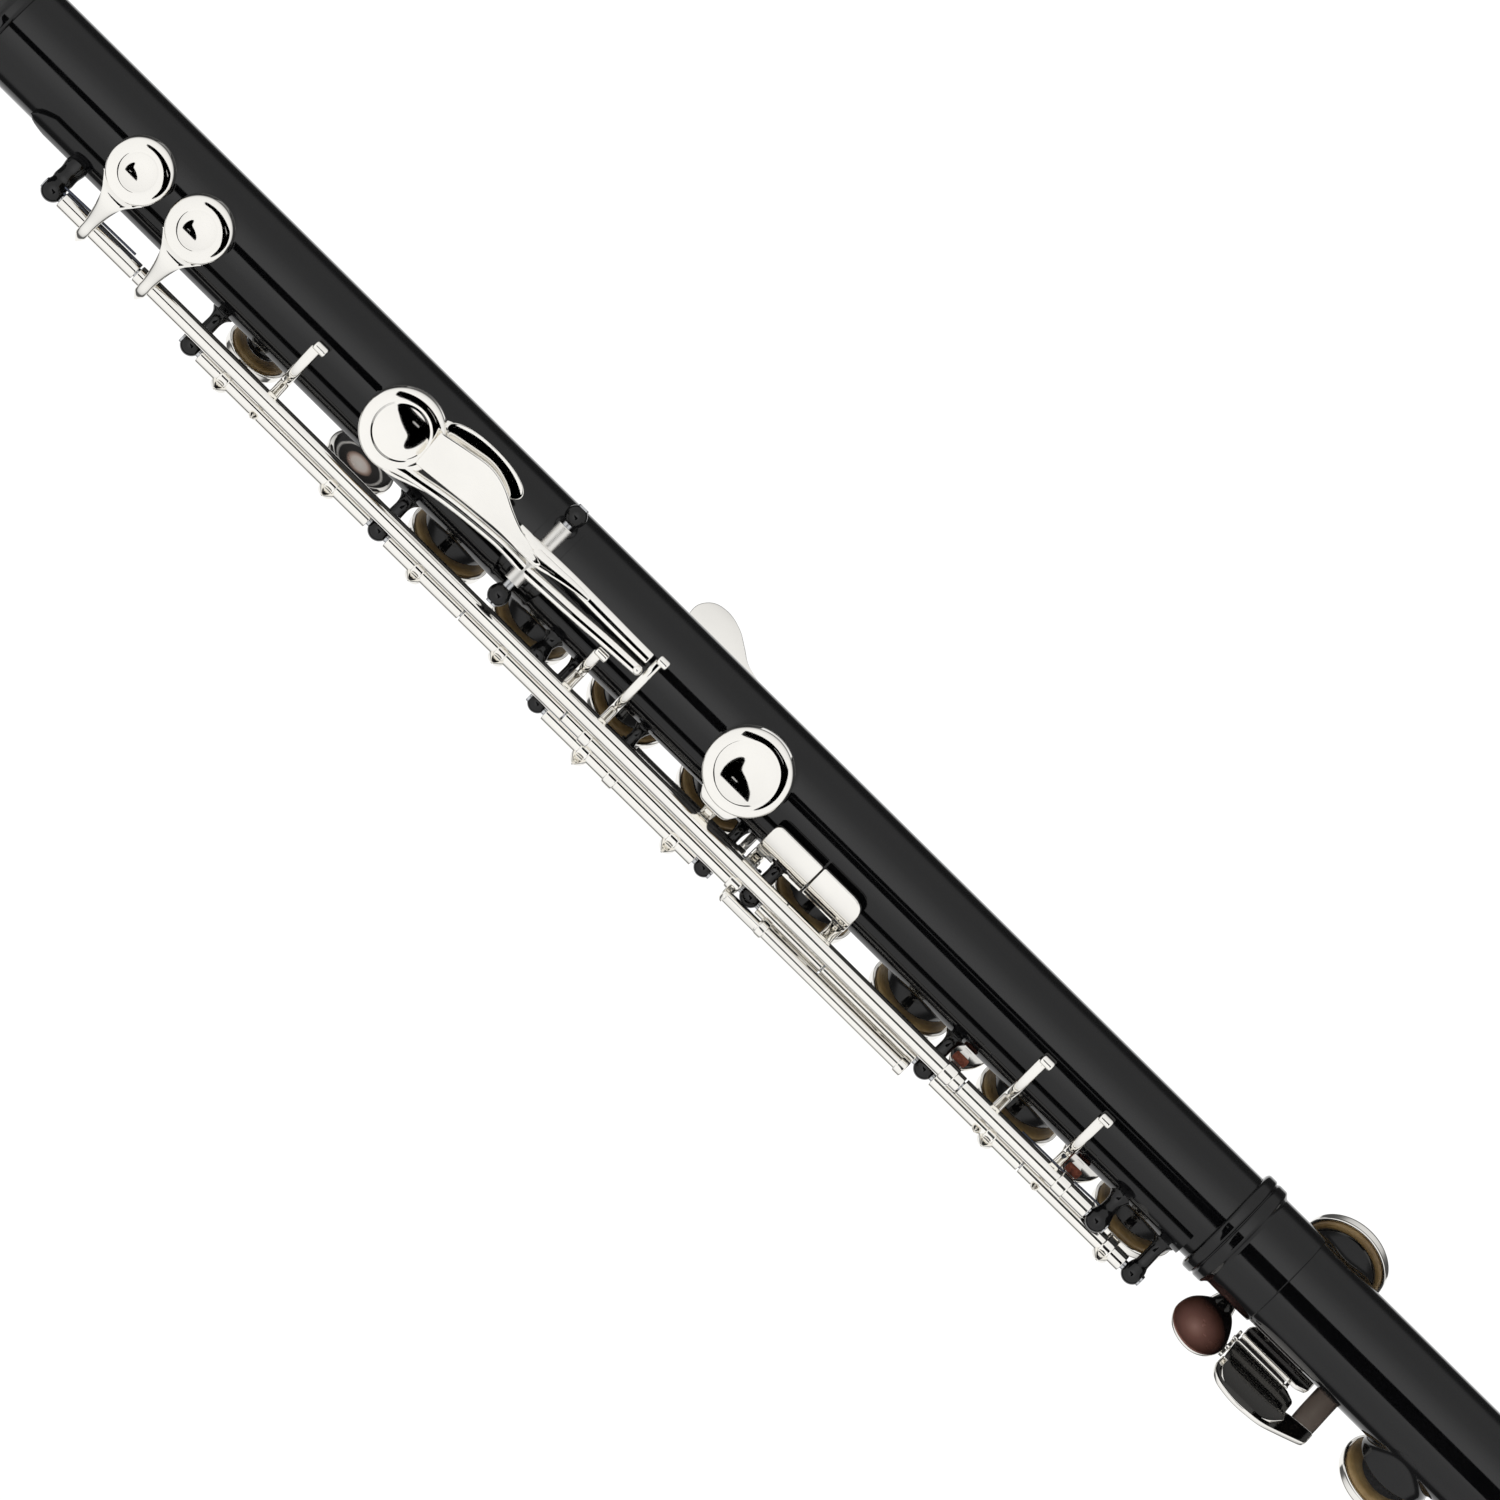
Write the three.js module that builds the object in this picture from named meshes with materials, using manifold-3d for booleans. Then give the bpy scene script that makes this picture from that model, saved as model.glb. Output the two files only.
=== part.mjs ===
// Concert flute with offset G keys and a C foot joint: head joint, body joint and foot joint,
// with every key, pad, rod, post and tuning part as its own solid.
// Units are millimetres. +X runs from the crown to the foot end along the bore axis, +Z is up
// (the way the main-line key cups face). The hinge rods lie on the +Y side of the body joint
// and on the -Y side of the foot joint.
import * as THREE from 'three';
import { mergeVertices } from 'three/addons/utils/BufferGeometryUtils.js';
import Module from 'manifold-3d';

const manifold = await Module();
manifold.setup();

// ---------------------------------------------------------------- driving dimensions
const TUBE_R = 9.8; // outside radius of the body and foot tubes
const BORE_R = 9.5;
const SEAT = 12.0; // height of a large tone-hole rim above the bore axis
const SMALL_SEAT = 11.6; // the same for the three small holes
const PAD_GAP = 0.1; // clearance between a closed pad and its rim
const PAD_T = 2.6;
const PAD_INSET = 0.6; // pad radius inside the cup radius
const CUP_BED = 0.12; // gap between pad and cup
const CUP_T = 0.8;
const OPEN_DEG = 9.5; // how far an open-standing key stands off its hole
const THUMB_OPEN_DEG = 3.9;
const CROWN_END_X = 8.2;
const HEAD_END_X = 234; // end of the head tenon inside the barrel
const BODY_X0 = 235;
const BODY_X1 = 543.3;
const TENON_X1 = 554.5;
const HINGE_R = 1.75; // hinge-tube outside radius
const HINGE_BORE = 1.08;
const ROD_R = 0.95;
const BALL_R = 2.1; // usual post ball
const RIB_R0 = 9.9; // inner and outer radii of the body rib
const RIB_R1 = 10.8;
const BED_R = 9.87; // ribs and saddle are cleared out to this radius over the tube
const STRAP_R0 = 11.1; // straps that run round the tube under the keywork
const STRAP_R1 = 12.3;
const STRAP_MID_R = (STRAP_R0 + STRAP_R1) / 2;
const PLATE_T = 1.5; // touch plates and key arms
const TUBE_SEG = 20;
const CUP_SEG = 12;
const HINGE_SEG = 8;

// lines parallel to X, as [y, z]
const AXIS = [0, 0];
const MAIN_LINE = [13.0, 13.1];
const TRILL_LINE = [14.6, 8.2];
const G_LINE = [12.3, 16.8];
const G_SHARP_LINE = [10.8, 10.4];
const FOOT_LINE = [-10.5, 12.3];
const BRIDGE_LINE = [16.3, 13.6];
const C_ROLLER_LINE = [3.0, 16.6];
const CS_ROLLER_LINE = [5.7, 16.9];

// turns about +X, in degrees, that carry +Z onto each row of holes
const TOP_TURN = 0;
const G_TURN = 10;
const BACK_TURN = -123;
const DSHARP_TURN = 90;
const FOOT_TURN = -15;
const THUMB_TURN = -135; // frame of the thumb keys

// the thumb axle crosses the tube at this x and height, in the thumb frame
const THUMB_X = 373.9;
const THUMB_H = 12.5;

// tone holes and their cups: x, turn about X, rim radius, hole radius, seat height, cup radius
const hole = (x, turn, rimR, holeR, seat, cupR) => ({ x, turn, rimR, holeR, seat, cupR });
const BODY_HOLES = {
  trill_dsharp: hole(276.0, BACK_TURN, 4.5, 3.8, SMALL_SEAT, 6.3),
  trill_d: hole(290.7, BACK_TURN, 4.5, 3.8, SMALL_SEAT, 6.3),
  c_sharp: hole(312.4, TOP_TURN, 4.4, 3.6, SMALL_SEAT, 6.25),
  thumb_b: hole(341.2, BACK_TURN, 6.4, 5.8, SEAT, 7.7),
  b_flat: hole(360.8, TOP_TURN, 7.2, 6.6, SEAT, 8.4),
  a: hole(381.3, TOP_TURN, 7.2, 6.6, SEAT, 8.5),
  g_upper: hole(404.1, G_TURN, 7.2, 6.6, SEAT, 8.5),
  g_lower: hole(426.4, G_TURN, 7.2, 6.6, SEAT, 8.5),
  g_sharp: hole(427.4, BACK_TURN, 6.8, 6.2, SEAT, 8.25),
  f_sharp: hole(451.9, TOP_TURN, 7.3, 6.7, SEAT, 8.6),
  f: hole(476.5, TOP_TURN, 7.3, 6.7, SEAT, 8.6),
  e: hole(503.5, TOP_TURN, 7.3, 6.7, SEAT, 8.7),
  d: hole(532.3, TOP_TURN, 7.3, 6.7, SEAT, 8.7),
};
const FOOT_HOLES = {
  foot_dsharp: hole(564.0, DSHARP_TURN, 7.6, 7.0, SEAT, 8.8),
  foot_csharp: hole(596.6, FOOT_TURN, 7.7, 7.1, SEAT, 8.8),
  foot_c: hole(632.2, FOOT_TURN, 7.7, 7.1, SEAT, 8.8),
};
const HOLES = { ...BODY_HOLES, ...FOOT_HOLES };

// ---------------------------------------------------------------- solids from meshes
const rad = THREE.MathUtils.degToRad;

function toManifold(vertProperties, triVerts) {
  return new manifold.Manifold(new manifold.Mesh({ numProp: 3, vertProperties, triVerts }));
}

function flipWinding(triangles) {
  for (let i = 0; i < triangles.length; i += 3) {
    [triangles[i + 1], triangles[i + 2]] = [triangles[i + 2], triangles[i + 1]];
  }
}

function signedVolume(position, triangles) {
  const corners = [0, 1, 2].map(() => new THREE.Vector3());
  let volume = 0;
  for (let i = 0; i < triangles.length; i += 3) {
    corners.forEach((corner, k) => corner.fromBufferAttribute(position, triangles[i + k]));
    volume += corners[0].dot(corners[1].cross(corners[2]));
  }
  return volume;
}

// weld a three.js geometry, drop its degenerate triangles and face them outwards
function solid(source) {
  const loose = source.index ? source.toNonIndexed() : source;
  loose.deleteAttribute('normal');
  loose.deleteAttribute('uv');
  const welded = mergeVertices(loose, 1e-5);
  const index = welded.index.array;
  const triangles = [];
  for (let i = 0; i < index.length; i += 3) {
    const [a, b, c] = [index[i], index[i + 1], index[i + 2]];
    if (a !== b && b !== c && a !== c) triangles.push(a, b, c);
  }
  const { position } = welded.attributes;
  if (signedVolume(position, triangles) < 0) flipWinding(triangles);
  return toManifold(Float32Array.from(position.array), Uint32Array.from(triangles));
}

function moved(part, matrix) {
  const mesh = part.getMesh();
  const points = new THREE.BufferAttribute(Float32Array.from(mesh.vertProperties), 3);
  const triangles = Uint32Array.from(mesh.triVerts);
  if (matrix.determinant() < 0) flipWinding(triangles);
  return toManifold(points.applyMatrix4(matrix).array, triangles);
}
const translation = (x, y, z) => new THREE.Matrix4().makeTranslation(x, y, z);
const shift = (part, x, y, z) => moved(part, translation(x, y, z));
const turnAbout = (part, rotation, x, y, z) =>
  moved(part, translation(x, y, z).multiply(rotation).multiply(translation(-x, -y, -z)));
const turnX = (part, deg, [y, z] = AXIS) =>
  turnAbout(part, new THREE.Matrix4().makeRotationX(rad(deg)), 0, y, z);
const mirrorY = (part) => moved(part, new THREE.Matrix4().makeScale(1, -1, 1));
const union = (...parts) => parts.reduce((sum, part) => sum.add(part));

// ---------------------------------------------------------------- basic shapes
const toVectors = (points) => points.map(([a, b]) => new THREE.Vector2(a, b));

// solid of revolution about the bore axis from [x, r] points
function latheX(profile, seg = TUBE_SEG) {
  const shape = new THREE.LatheGeometry(toVectors(profile.map(([x, r]) => [r, x])), seg);
  return solid(shape.rotateZ(-Math.PI / 2));
}
// solid of revolution about +Z from [r, z] points
function latheZ(profile) {
  return solid(new THREE.LatheGeometry(toVectors(profile), CUP_SEG).rotateX(Math.PI / 2));
}
const ringX = (r0, r1, x0, x1) => latheX([[x0, r0], [x0, r1], [x1, r1], [x1, r0], [x0, r0]]);
const rodX = (r, x0, x1, [y, z] = AXIS, seg = HINGE_SEG) =>
  shift(latheX([[x0, 0], [x0, r], [x1, r], [x1, 0]], seg), 0, y, z);
// cylinder on the bore axis, faceted like the tubes
const coreX = (r, x0, x1) => rodX(r, x0, x1, AXIS, TUBE_SEG);
const discZ = (r, z0, z1) => latheZ([[0, z0], [r, z0], [r, z1], [0, z1]]);

function rodBetween(r, from, to, seg = 8) {
  const start = new THREE.Vector3(...from);
  const span = new THREE.Vector3(...to).sub(start);
  const length = span.length();
  const up = new THREE.Vector3(0, 1, 0);
  const shape = new THREE.CylinderGeometry(r, r, length, seg).translate(0, length / 2, 0);
  shape.applyQuaternion(new THREE.Quaternion().setFromUnitVectors(up, span.normalize()));
  return solid(shape.translate(...from));
}
function ball(r, [x, y, z]) {
  return solid(new THREE.SphereGeometry(r, 6, 4).rotateX(Math.PI / 2).translate(x, y, z));
}
function block([x0, x1], [y0, y1], [z0, z1]) {
  const box = new THREE.BoxGeometry(x1 - x0, y1 - y0, z1 - z0);
  return solid(box.translate((x0 + x1) / 2, (y0 + y1) / 2, (z0 + z1) / 2));
}
function extruded(outline, depth) {
  const shape = new THREE.Shape(toVectors(outline));
  return new THREE.ExtrudeGeometry(shape, { depth, bevelEnabled: false });
}
const UNIT_X = new THREE.Vector3(1, 0, 0);
const UNIT_Y = new THREE.Vector3(0, 1, 0);
const UNIT_Z = new THREE.Vector3(0, 0, 1);
// prism of a (y, z) outline along X
function prismX(outline, x0, x1) {
  const frame = new THREE.Matrix4().makeBasis(UNIT_Y, UNIT_Z, UNIT_X);
  return solid(extruded(outline, x1 - x0).applyMatrix4(frame).translate(x0, 0, 0));
}
// prism of an (x, z) outline along Y
function prismY(outline, y0, y1) {
  const frame = new THREE.Matrix4().makeBasis(UNIT_X, UNIT_Z, UNIT_Y.clone().negate());
  return solid(extruded(outline, y1 - y0).applyMatrix4(frame).translate(0, y1, 0));
}
// prism of an (x, y) outline along Z
const prismZ = (outline, z0, z1) => solid(extruded(outline, z1 - z0).translate(0, 0, z0));

// (y, z) point at a radius and an angle in degrees from +Y towards +Z
const polar = (r, deg) => [r * Math.cos(rad(deg)), r * Math.sin(rad(deg))];
function spun([y, z], deg) {
  const c = Math.cos(rad(deg));
  const s = Math.sin(rad(deg));
  return [y * c - z * s, y * s + z * c];
}
// part of a ring round the bore axis, between two polar angles
function sector(x0, x1, r0, r1, deg0, deg1, steps) {
  const arc = (r) => Array.from({ length: steps + 1 },
    (_, i) => polar(r, deg0 + (deg1 - deg0) * i / steps));
  return prismX([...arc(r1), ...arc(r0).reverse()], x0, x1);
}
const strap = (x0, x1, deg0, deg1, steps) =>
  sector(x0, x1, STRAP_R0, STRAP_R1, deg0, deg1, steps);
// points round an ellipse; an exponent below 1 squares it off
function ellipse(cx, cy, rx, ry, steps = 12, exponent = 1) {
  const bulge = (value) => Math.sign(value) * Math.abs(value) ** exponent;
  return Array.from({ length: steps }, (_, i) => {
    const angle = 2 * Math.PI * i / steps;
    return [cx + rx * bulge(Math.cos(angle)), cy + ry * bulge(Math.sin(angle))];
  });
}
// flat bar that follows a (y, z) path
function strip(path, thickness, x0, x1) {
  const left = [];
  const right = [];
  path.forEach(([y, z], i) => {
    const before = path[Math.max(0, i - 1)];
    const after = path[Math.min(path.length - 1, i + 1)];
    const dy = after[0] - before[0];
    const dz = after[1] - before[1];
    const scale = thickness / 2 / Math.hypot(dy, dz);
    left.push([y - dz * scale, z + dy * scale]);
    right.push([y + dz * scale, z - dy * scale]);
  });
  return prismX([...left, ...right.reverse()], x0, x1);
}
// plate with an (x, y) outline, bent along a (y, z) path
const bentPlate = (outline, path, x0, x1, z0 = 12, z1 = 20) =>
  prismZ(outline, z0, z1).intersect(strip(path, PLATE_T, x0, x1));

const atHole = (part, { x, turn }) => shift(turnX(part, turn), x, 0, 0);
const bored = (part, x0, x1, line) => part.subtract(rodX(HINGE_BORE, x0, x1, line));
// cut room for the chimneys of some holes
function clearHoles(part, holes, gap, top) {
  return holes.reduce((rest, h) => rest.subtract(atHole(discZ(h.rimR + gap, 0, top), h)), part);
}

// ---------------------------------------------------------------- the object
const group = new THREE.Group();
const FINISHES = {
  lacquer: { color: 0x101112, roughness: 0.12, metalness: 0.3 },
  silver: { color: 0xd8d4cc, roughness: 0.2, metalness: 1.0 },
  steel: { color: 0xb4b6ba, roughness: 0.3, metalness: 1.0 },
  pad: { color: 0xa98a5c, roughness: 0.7, metalness: 0.0 },
  cork: { color: 0x8a4a2c, roughness: 0.85, metalness: 0.0 },
};
function addPart(name, part, finish) {
  const { vertProperties, triVerts } = part.getMesh();
  const geometry = new THREE.BufferGeometry();
  const points = new THREE.BufferAttribute(Float32Array.from(vertProperties), 3);
  geometry.setAttribute('position', points);
  geometry.setIndex(Array.from(triVerts));
  geometry.computeVertexNormals();
  const mesh = new THREE.Mesh(geometry, new THREE.MeshStandardMaterial(FINISHES[finish]));
  mesh.name = name;
  group.add(mesh);
}

// ---------------------------------------------------------------- head joint
const TAPER_X0 = 60;
const TAPER_X1 = 170;
function headTube() {
  const grown = (x, r, growth) =>
    r + growth * THREE.MathUtils.clamp((x - TAPER_X0) / (TAPER_X1 - TAPER_X0), 0, 1);
  const stations = [CROWN_END_X + 0.3, TAPER_X0, (TAPER_X0 + TAPER_X1) / 2, TAPER_X1, HEAD_END_X];
  const outer = stations.map((x) => [x, grown(x, 9.2, 0.55)]);
  const inner = stations.map((x) => [x, grown(x, 8.72, 0.58)]);
  return latheX([...outer, ...inner.reverse(), outer[0]]);
}

const EMB_X = 62; // centre of the embouchure hole
const LIP_RISE = 1.2; // lip-plate curve centre above the bore axis
const embouchure = prismZ(ellipse(EMB_X, 0, 6.1, 5.15), 4, 20);
const lipCylinder = (r, seg) => rodX(r, 20, 110, [0, LIP_RISE], seg);

// chimney between tube and lip plate
function riser() {
  return prismZ(ellipse(EMB_X, 0, 7.9, 6.9), 4, 20)
    .subtract(embouchure)
    .intersect(lipCylinder(12.4, 48))
    .subtract(coreX(9.35, 20, 110));
}
// an oval piece of a curved shell
function lipPlate() {
  const oval = prismZ(ellipse(EMB_X, 0, 26, 13.0, 24, 0.86), 4.2, 20);
  const shell = lipCylinder(13.4, 36).subtract(lipCylinder(12.5, 36));
  return shell.intersect(oval).subtract(embouchure);
}
addPart('head_tube', headTube().subtract(embouchure), 'lacquer');
addPart('riser', riser(), 'silver');
addPart('lip_plate', lipPlate(), 'silver');

// crown and stopper; profiles are [x, radius]
const CROWN_PROFILE = [
  [0, 0], [0, 6.4], [0.5, 7.6], [1.8, 8.9], [3.4, 9.5], [5.2, 9.5], [5.6, 9.1], [6.4, 9.1],
  [6.8, 9.5], [CROWN_END_X, 9.5], [CROWN_END_X, 8.4], [13.5, 8.4], [13.5, 2.4], [4, 2.4], [4, 0],
];
const SCREW_PROFILE = [[7.5, 0], [7.5, 2.0], [43.2, 2.0], [43.2, 8.3], [44.7, 8.3], [44.7, 0]];
const STOPPER_BORE = 2.3;
addPart('crown', latheX(CROWN_PROFILE), 'lacquer');
addPart('stopper_screw', latheX(SCREW_PROFILE), 'steel');
addPart('stopper_cork', ringX(STOPPER_BORE, 8.45, 30.2, 42.9), 'cork');
addPart('stopper_plate', ringX(STOPPER_BORE, 8.3, 28.4, 29.9), 'steel');

// ---------------------------------------------------------------- body tube and barrel
// tube with a chimney raised and drilled at each tone hole
function tubeWithHoles(outer, bore, holes) {
  const list = Object.values(holes);
  const chimneys = list.map((h) => atHole(discZ(h.rimR, 0, h.seat), h));
  const drills = list.map((h) => atHole(discZ(h.holeR, 2, h.seat + 2), h));
  return outer.add(union(...chimneys)).subtract(bore).subtract(union(...drills));
}

const TENON_R = 9.7;
const BODY_PROFILE = [ // [x, radius]
  [BODY_X0, 0], [BODY_X0, TUBE_R], [BODY_X1, TUBE_R],
  [BODY_X1, TENON_R], [TENON_X1, TENON_R], [TENON_X1, 0],
];
const BARREL_X0 = 198;
const BARREL_X1 = 241.1;
const BARREL_BORE = 9.97;
const BARREL_PROFILE = [ // [x, radius]
  [BARREL_X0, BARREL_BORE], [BARREL_X0, 10.9], [199, 11.4], [201.4, 11.4], [202, 10.7],
  [238, 10.7], [238.6, 11.2], [240.4, 11.2], [BARREL_X1, 10.8], [BARREL_X1, BARREL_BORE],
  [BARREL_X0, BARREL_BORE],
];
const bodyBore = coreX(BORE_R, BODY_X0 - 5, TENON_X1 + 5);
addPart('body_tube', tubeWithHoles(latheX(BODY_PROFILE), bodyBore, BODY_HOLES), 'lacquer');
addPart('barrel', latheX(BARREL_PROFILE), 'lacquer');

// ---------------------------------------------------------------- posts and rods
// ball on a stem; the stem starts at base, by default straight below the ball on the tube
function post(x, [y, z], { ballR = BALL_R, stemR = 1.4, base } = {}) {
  const reach = Math.hypot(y, z);
  const [baseY, baseZ] = base ?? [y / reach * 10.0, z / reach * 10.0];
  return ball(ballR, [x, y, z]).add(rodBetween(stemR, [x, baseY, baseZ], [x, y, z], 6));
}

const MAIN_POSTS = [303.5, 350.4, 443.3, 486.8, 538.7];
const TRILL_POSTS = [266.9, 527.5];
const G_POSTS = [392.1, 433.7];
const TRILL_SADDLE_X = 386.1;
const G_SHARP_POST_X = 408.6;
function mainRib() {
  const { trill_dsharp, trill_d, thumb_b, g_sharp, g_upper, g_lower, d, f_sharp, b_flat } = HOLES;
  const foot = (x, halfWidth, deg0, deg1) =>
    sector(x - halfWidth, x + halfWidth, RIB_R0, RIB_R1, deg0, deg1, 4);

  let rib = sector(254.6, 541.6, RIB_R0, RIB_R1, -4, 38, 5);
  rib = clearHoles(rib, [trill_dsharp, trill_d, thumb_b, g_sharp], 0.5, 20);
  // window for the thumb saddle
  rib = rib.subtract(sector(THUMB_X - 4, THUMB_X + 4, 9, 12, -10, 14, 3));

  for (const x of MAIN_POSTS) rib = union(rib, foot(x, 2.3, 30, 50), post(x, MAIN_LINE));
  for (const x of TRILL_POSTS) rib = rib.add(post(x, TRILL_LINE));
  rib = rib.add(post(TRILL_SADDLE_X, TRILL_LINE.map((value) => value * 0.9), { ballR: 2.0 }));
  const gPost = { ballR: 1.9, stemR: 1.1, base: polar(10.1, 64) };
  for (const x of G_POSTS) rib = union(rib, foot(x, 1.6, 30, 70), post(x, G_LINE, gPost));
  const gSharpPost = post(G_SHARP_POST_X, G_SHARP_LINE, { ballR: 1.45, stemR: 1.1 });
  rib = union(rib, foot(G_SHARP_POST_X, 1.4, 30, 47), gSharpPost);

  // running holes for the rods and for the trill tube in its saddle
  rib = bored(rib, 296, 545, MAIN_LINE);
  rib = bored(rib, 262, 530, TRILL_LINE);
  rib = bored(rib, 388, 437, G_LINE);
  rib = bored(rib, 405, 441, G_SHARP_LINE);
  rib = rib.subtract(rodX(2.05, 380, 392, TRILL_LINE));
  // room for the tube and its chimneys
  rib = rib.subtract(coreX(BED_R, 250, 545));
  return clearHoles(rib, [g_upper, g_lower, d, f_sharp, b_flat], 0.3, 12.3);
}
addPart('main_rib', mainRib(), 'lacquer');

// Thumb frame: local +y runs away from the body's hinge lines, local +z outwards.
// The axle lies along local y.
const fromThumbFrame = (part) => turnX(part, THUMB_TURN);
const thumbRod = (r, y0, y1, seg) =>
  rodBetween(r, [THUMB_X, y0, THUMB_H], [THUMB_X, y1, THUMB_H], seg);
const thumbBore = thumbRod(HINGE_BORE, -20, 20, 12);
const THUMB_POST_Y0 = 7.8;
const THUMB_POST_Y1 = -11.7;
const THUMB_AXLE_OVERHANG = 1.6;
function thumbSaddle() {
  const posts = [[THUMB_POST_Y0, 0.66], [THUMB_POST_Y1, 0.58]].flatMap(([y, baseShare]) => {
    const top = [THUMB_X, y, THUMB_H];
    const base = [THUMB_X, y * baseShare, THUMB_H * baseShare];
    return [ball(BALL_R, top), rodBetween(1.3, base, top)];
  });
  return fromThumbFrame(union(...posts))
    .add(sector(THUMB_X - 3.3, THUMB_X + 3.3, RIB_R0, 10.5, -84, 10, 12))
    .subtract(fromThumbFrame(thumbBore))
    .subtract(coreX(BED_R, 360, 390));
}
const thumbAxle = thumbRod(ROD_R,
  THUMB_POST_Y0 + THUMB_AXLE_OVERHANG, THUMB_POST_Y1 - THUMB_AXLE_OVERHANG, 12);
addPart('thumb_saddle', thumbSaddle(), 'lacquer');
addPart('thumb_axle', fromThumbFrame(thumbAxle), 'steel');

// rods: name, start x, end x, line
const RODS = [
  ['c_sharp_rod', 302.0, 349.9, MAIN_LINE],
  ['upper_rod', 350.9, 442.9, MAIN_LINE],
  ['lower_rod', 443.7, 540.2, MAIN_LINE],
  ['trill_rod', 265.2, 529.0, TRILL_LINE],
  ['g_rod', 390.6, 435.2, G_LINE],
  ['g_sharp_rod', 407.4, 441.5, G_SHARP_LINE],
  ['foot_rod', 549.8, 644.6, FOOT_LINE],
];
for (const [name, x0, x1, line] of RODS) addPart(name, rodX(ROD_R, x0, x1, line), 'steel');

// ---------------------------------------------------------------- key pieces
// Cups, pads and arms are drawn closed, in the frame of their hole (hole axis along +Z).
const cupTop = (seat) => seat + PAD_GAP + PAD_T + CUP_BED + CUP_T;

function cup({ x, cupR, seat }, dish) {
  const top = cupTop(seat);
  const ceiling = top - CUP_T;
  const lip = seat + PAD_GAP + 0.9;
  return shift(latheZ([
    [0, top - dish], [cupR * 0.62, top - dish * 0.4], [cupR - 1.0, top],
    [cupR - 0.12, top - 0.55], [cupR, lip], [cupR - 0.4, lip], [cupR - 0.4, ceiling], [0, ceiling],
  ]), x, 0, 0);
}
function pad({ x, cupR, seat }) {
  const bottom = seat + PAD_GAP;
  return shift(discZ(cupR - PAD_INSET, bottom, bottom + PAD_T), x, 0, 0);
}
// arm from a hinge on the +Y side over the top of a cup; the tail is a point beyond the hinge
function arm(x, [hingeY, hingeZ], cupR, seat, tail = true) {
  const top = cupTop(seat);
  const sideTail = tail
    ? [[1.6, 1.8], [3.4, 0.5], [3.2, -0.3], [1.4, -0.6]]
    : [[0.9, 1.5], [0.9, -0.6]];
  const side = prismX([
    [-0.2, top - 0.3], [-0.3, top + 0.5], [3, top + 1.1], [cupR, top + 1.2],
    [hingeY - 0.8, hingeZ + 2.0], ...sideTail.map(([y, z]) => [hingeY + y, hingeZ + z]),
    [hingeY - 1.5, hingeZ - 0.8], [cupR + 1.0, top - 1.0], [cupR + 0.4, top - 0.35],
  ], x - 3, x + 3);
  const endHalf = tail ? 0.3 : 1.9;
  const plan = prismZ([
    [x, -0.3], [x + 1.1, 2.6], [x + 1.9, cupR], [x + 1.9, hingeY + 1.0],
    [x + endHalf, hingeY + 3.5], [x - endHalf, hingeY + 3.5],
    [x - 1.9, hingeY + 1.0], [x - 1.9, cupR], [x - 1.1, 2.6],
  ], 0, 30);
  return side.intersect(plan);
}
// turn a closed key about its hinge to stand off its hole
const opened = (part, line) => turnX(part, line[0] > 0 ? -OPEN_DEG : OPEN_DEG, line);

// a pad stands open when it is given a hinge line
function addPad(key, line) {
  const closed = turnX(pad(HOLES[key]), HOLES[key].turn);
  addPart(`${key}_pad`, line ? opened(closed, line) : closed, 'pad');
}
// strap from the main hinge line down round the +Y side of the tube, ending at endDeg
function kicker(x, width, endDeg) {
  const [x0, x1] = [x - width / 2, x + width / 2];
  const neck = [
    polar(STRAP_MID_R, 31), polar(13.6, 40), [MAIN_LINE[0] - 0.3, MAIN_LINE[1] - 0.6],
  ];
  return strap(x0, x1, endDeg, 34, 5).add(strip(neck, 1.5, x0, x1));
}

// ---------------------------------------------------------------- main-line keys
function addMainKey(key, [x0, x1], { armX, tail, extras = [] } = {}) {
  const h = HOLES[key];
  const hinge = spun(MAIN_LINE, -h.turn);
  const top = cup(h, 0.5).add(arm(armX ?? h.x, hinge, h.cupR, h.seat, tail));
  const tube = rodX(HINGE_R, x0, x1, MAIN_LINE);
  const body = union(opened(turnX(top, h.turn), MAIN_LINE), tube, ...extras);
  addPart(`${key}_key`, bored(body, x0 - 5, x1 + 5, MAIN_LINE), 'silver');
  addPad(key, MAIN_LINE);
}
// round finger touch of the C sharp key, with its own arm
function cSharpTouch() {
  const top = cupTop(SMALL_SEAT);
  const button = latheZ([
    [0, top - 0.6], [6.6, top - 0.1], [7.0, top + 0.4], [6.4, top + 0.9], [0, top + 0.5],
  ]);
  return opened(shift(button, 339.3, 0, 0).add(arm(338.9, MAIN_LINE, 7.0, SMALL_SEAT)), MAIN_LINE);
}
addMainKey('c_sharp', [305.9, 348.0], {
  armX: 312.0,
  extras: [kicker(320.2, 2.0, -31), cSharpTouch()],
});
addMainKey('b_flat', [352.8, 371.3], { armX: 360.5 });
addMainKey('a', [371.6, 396.9], { extras: [kicker(393.7, 2.0, -12.7)] });
addMainKey('f_sharp', [445.7, 461.2], {
  tail: false,
  extras: [strap(449.15, 459.4, -17.5, 26, 6), kicker(457.9, 3.0, 10)],
});
addMainKey('f', [461.5, 484.4], { tail: false });
addMainKey('e', [489.2, 511.0], { extras: [kicker(500.8, 2.0, -33)] });
addMainKey('d', [511.3, 536.3], { extras: [kicker(515.4, 2.0, -33)] });

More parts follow.
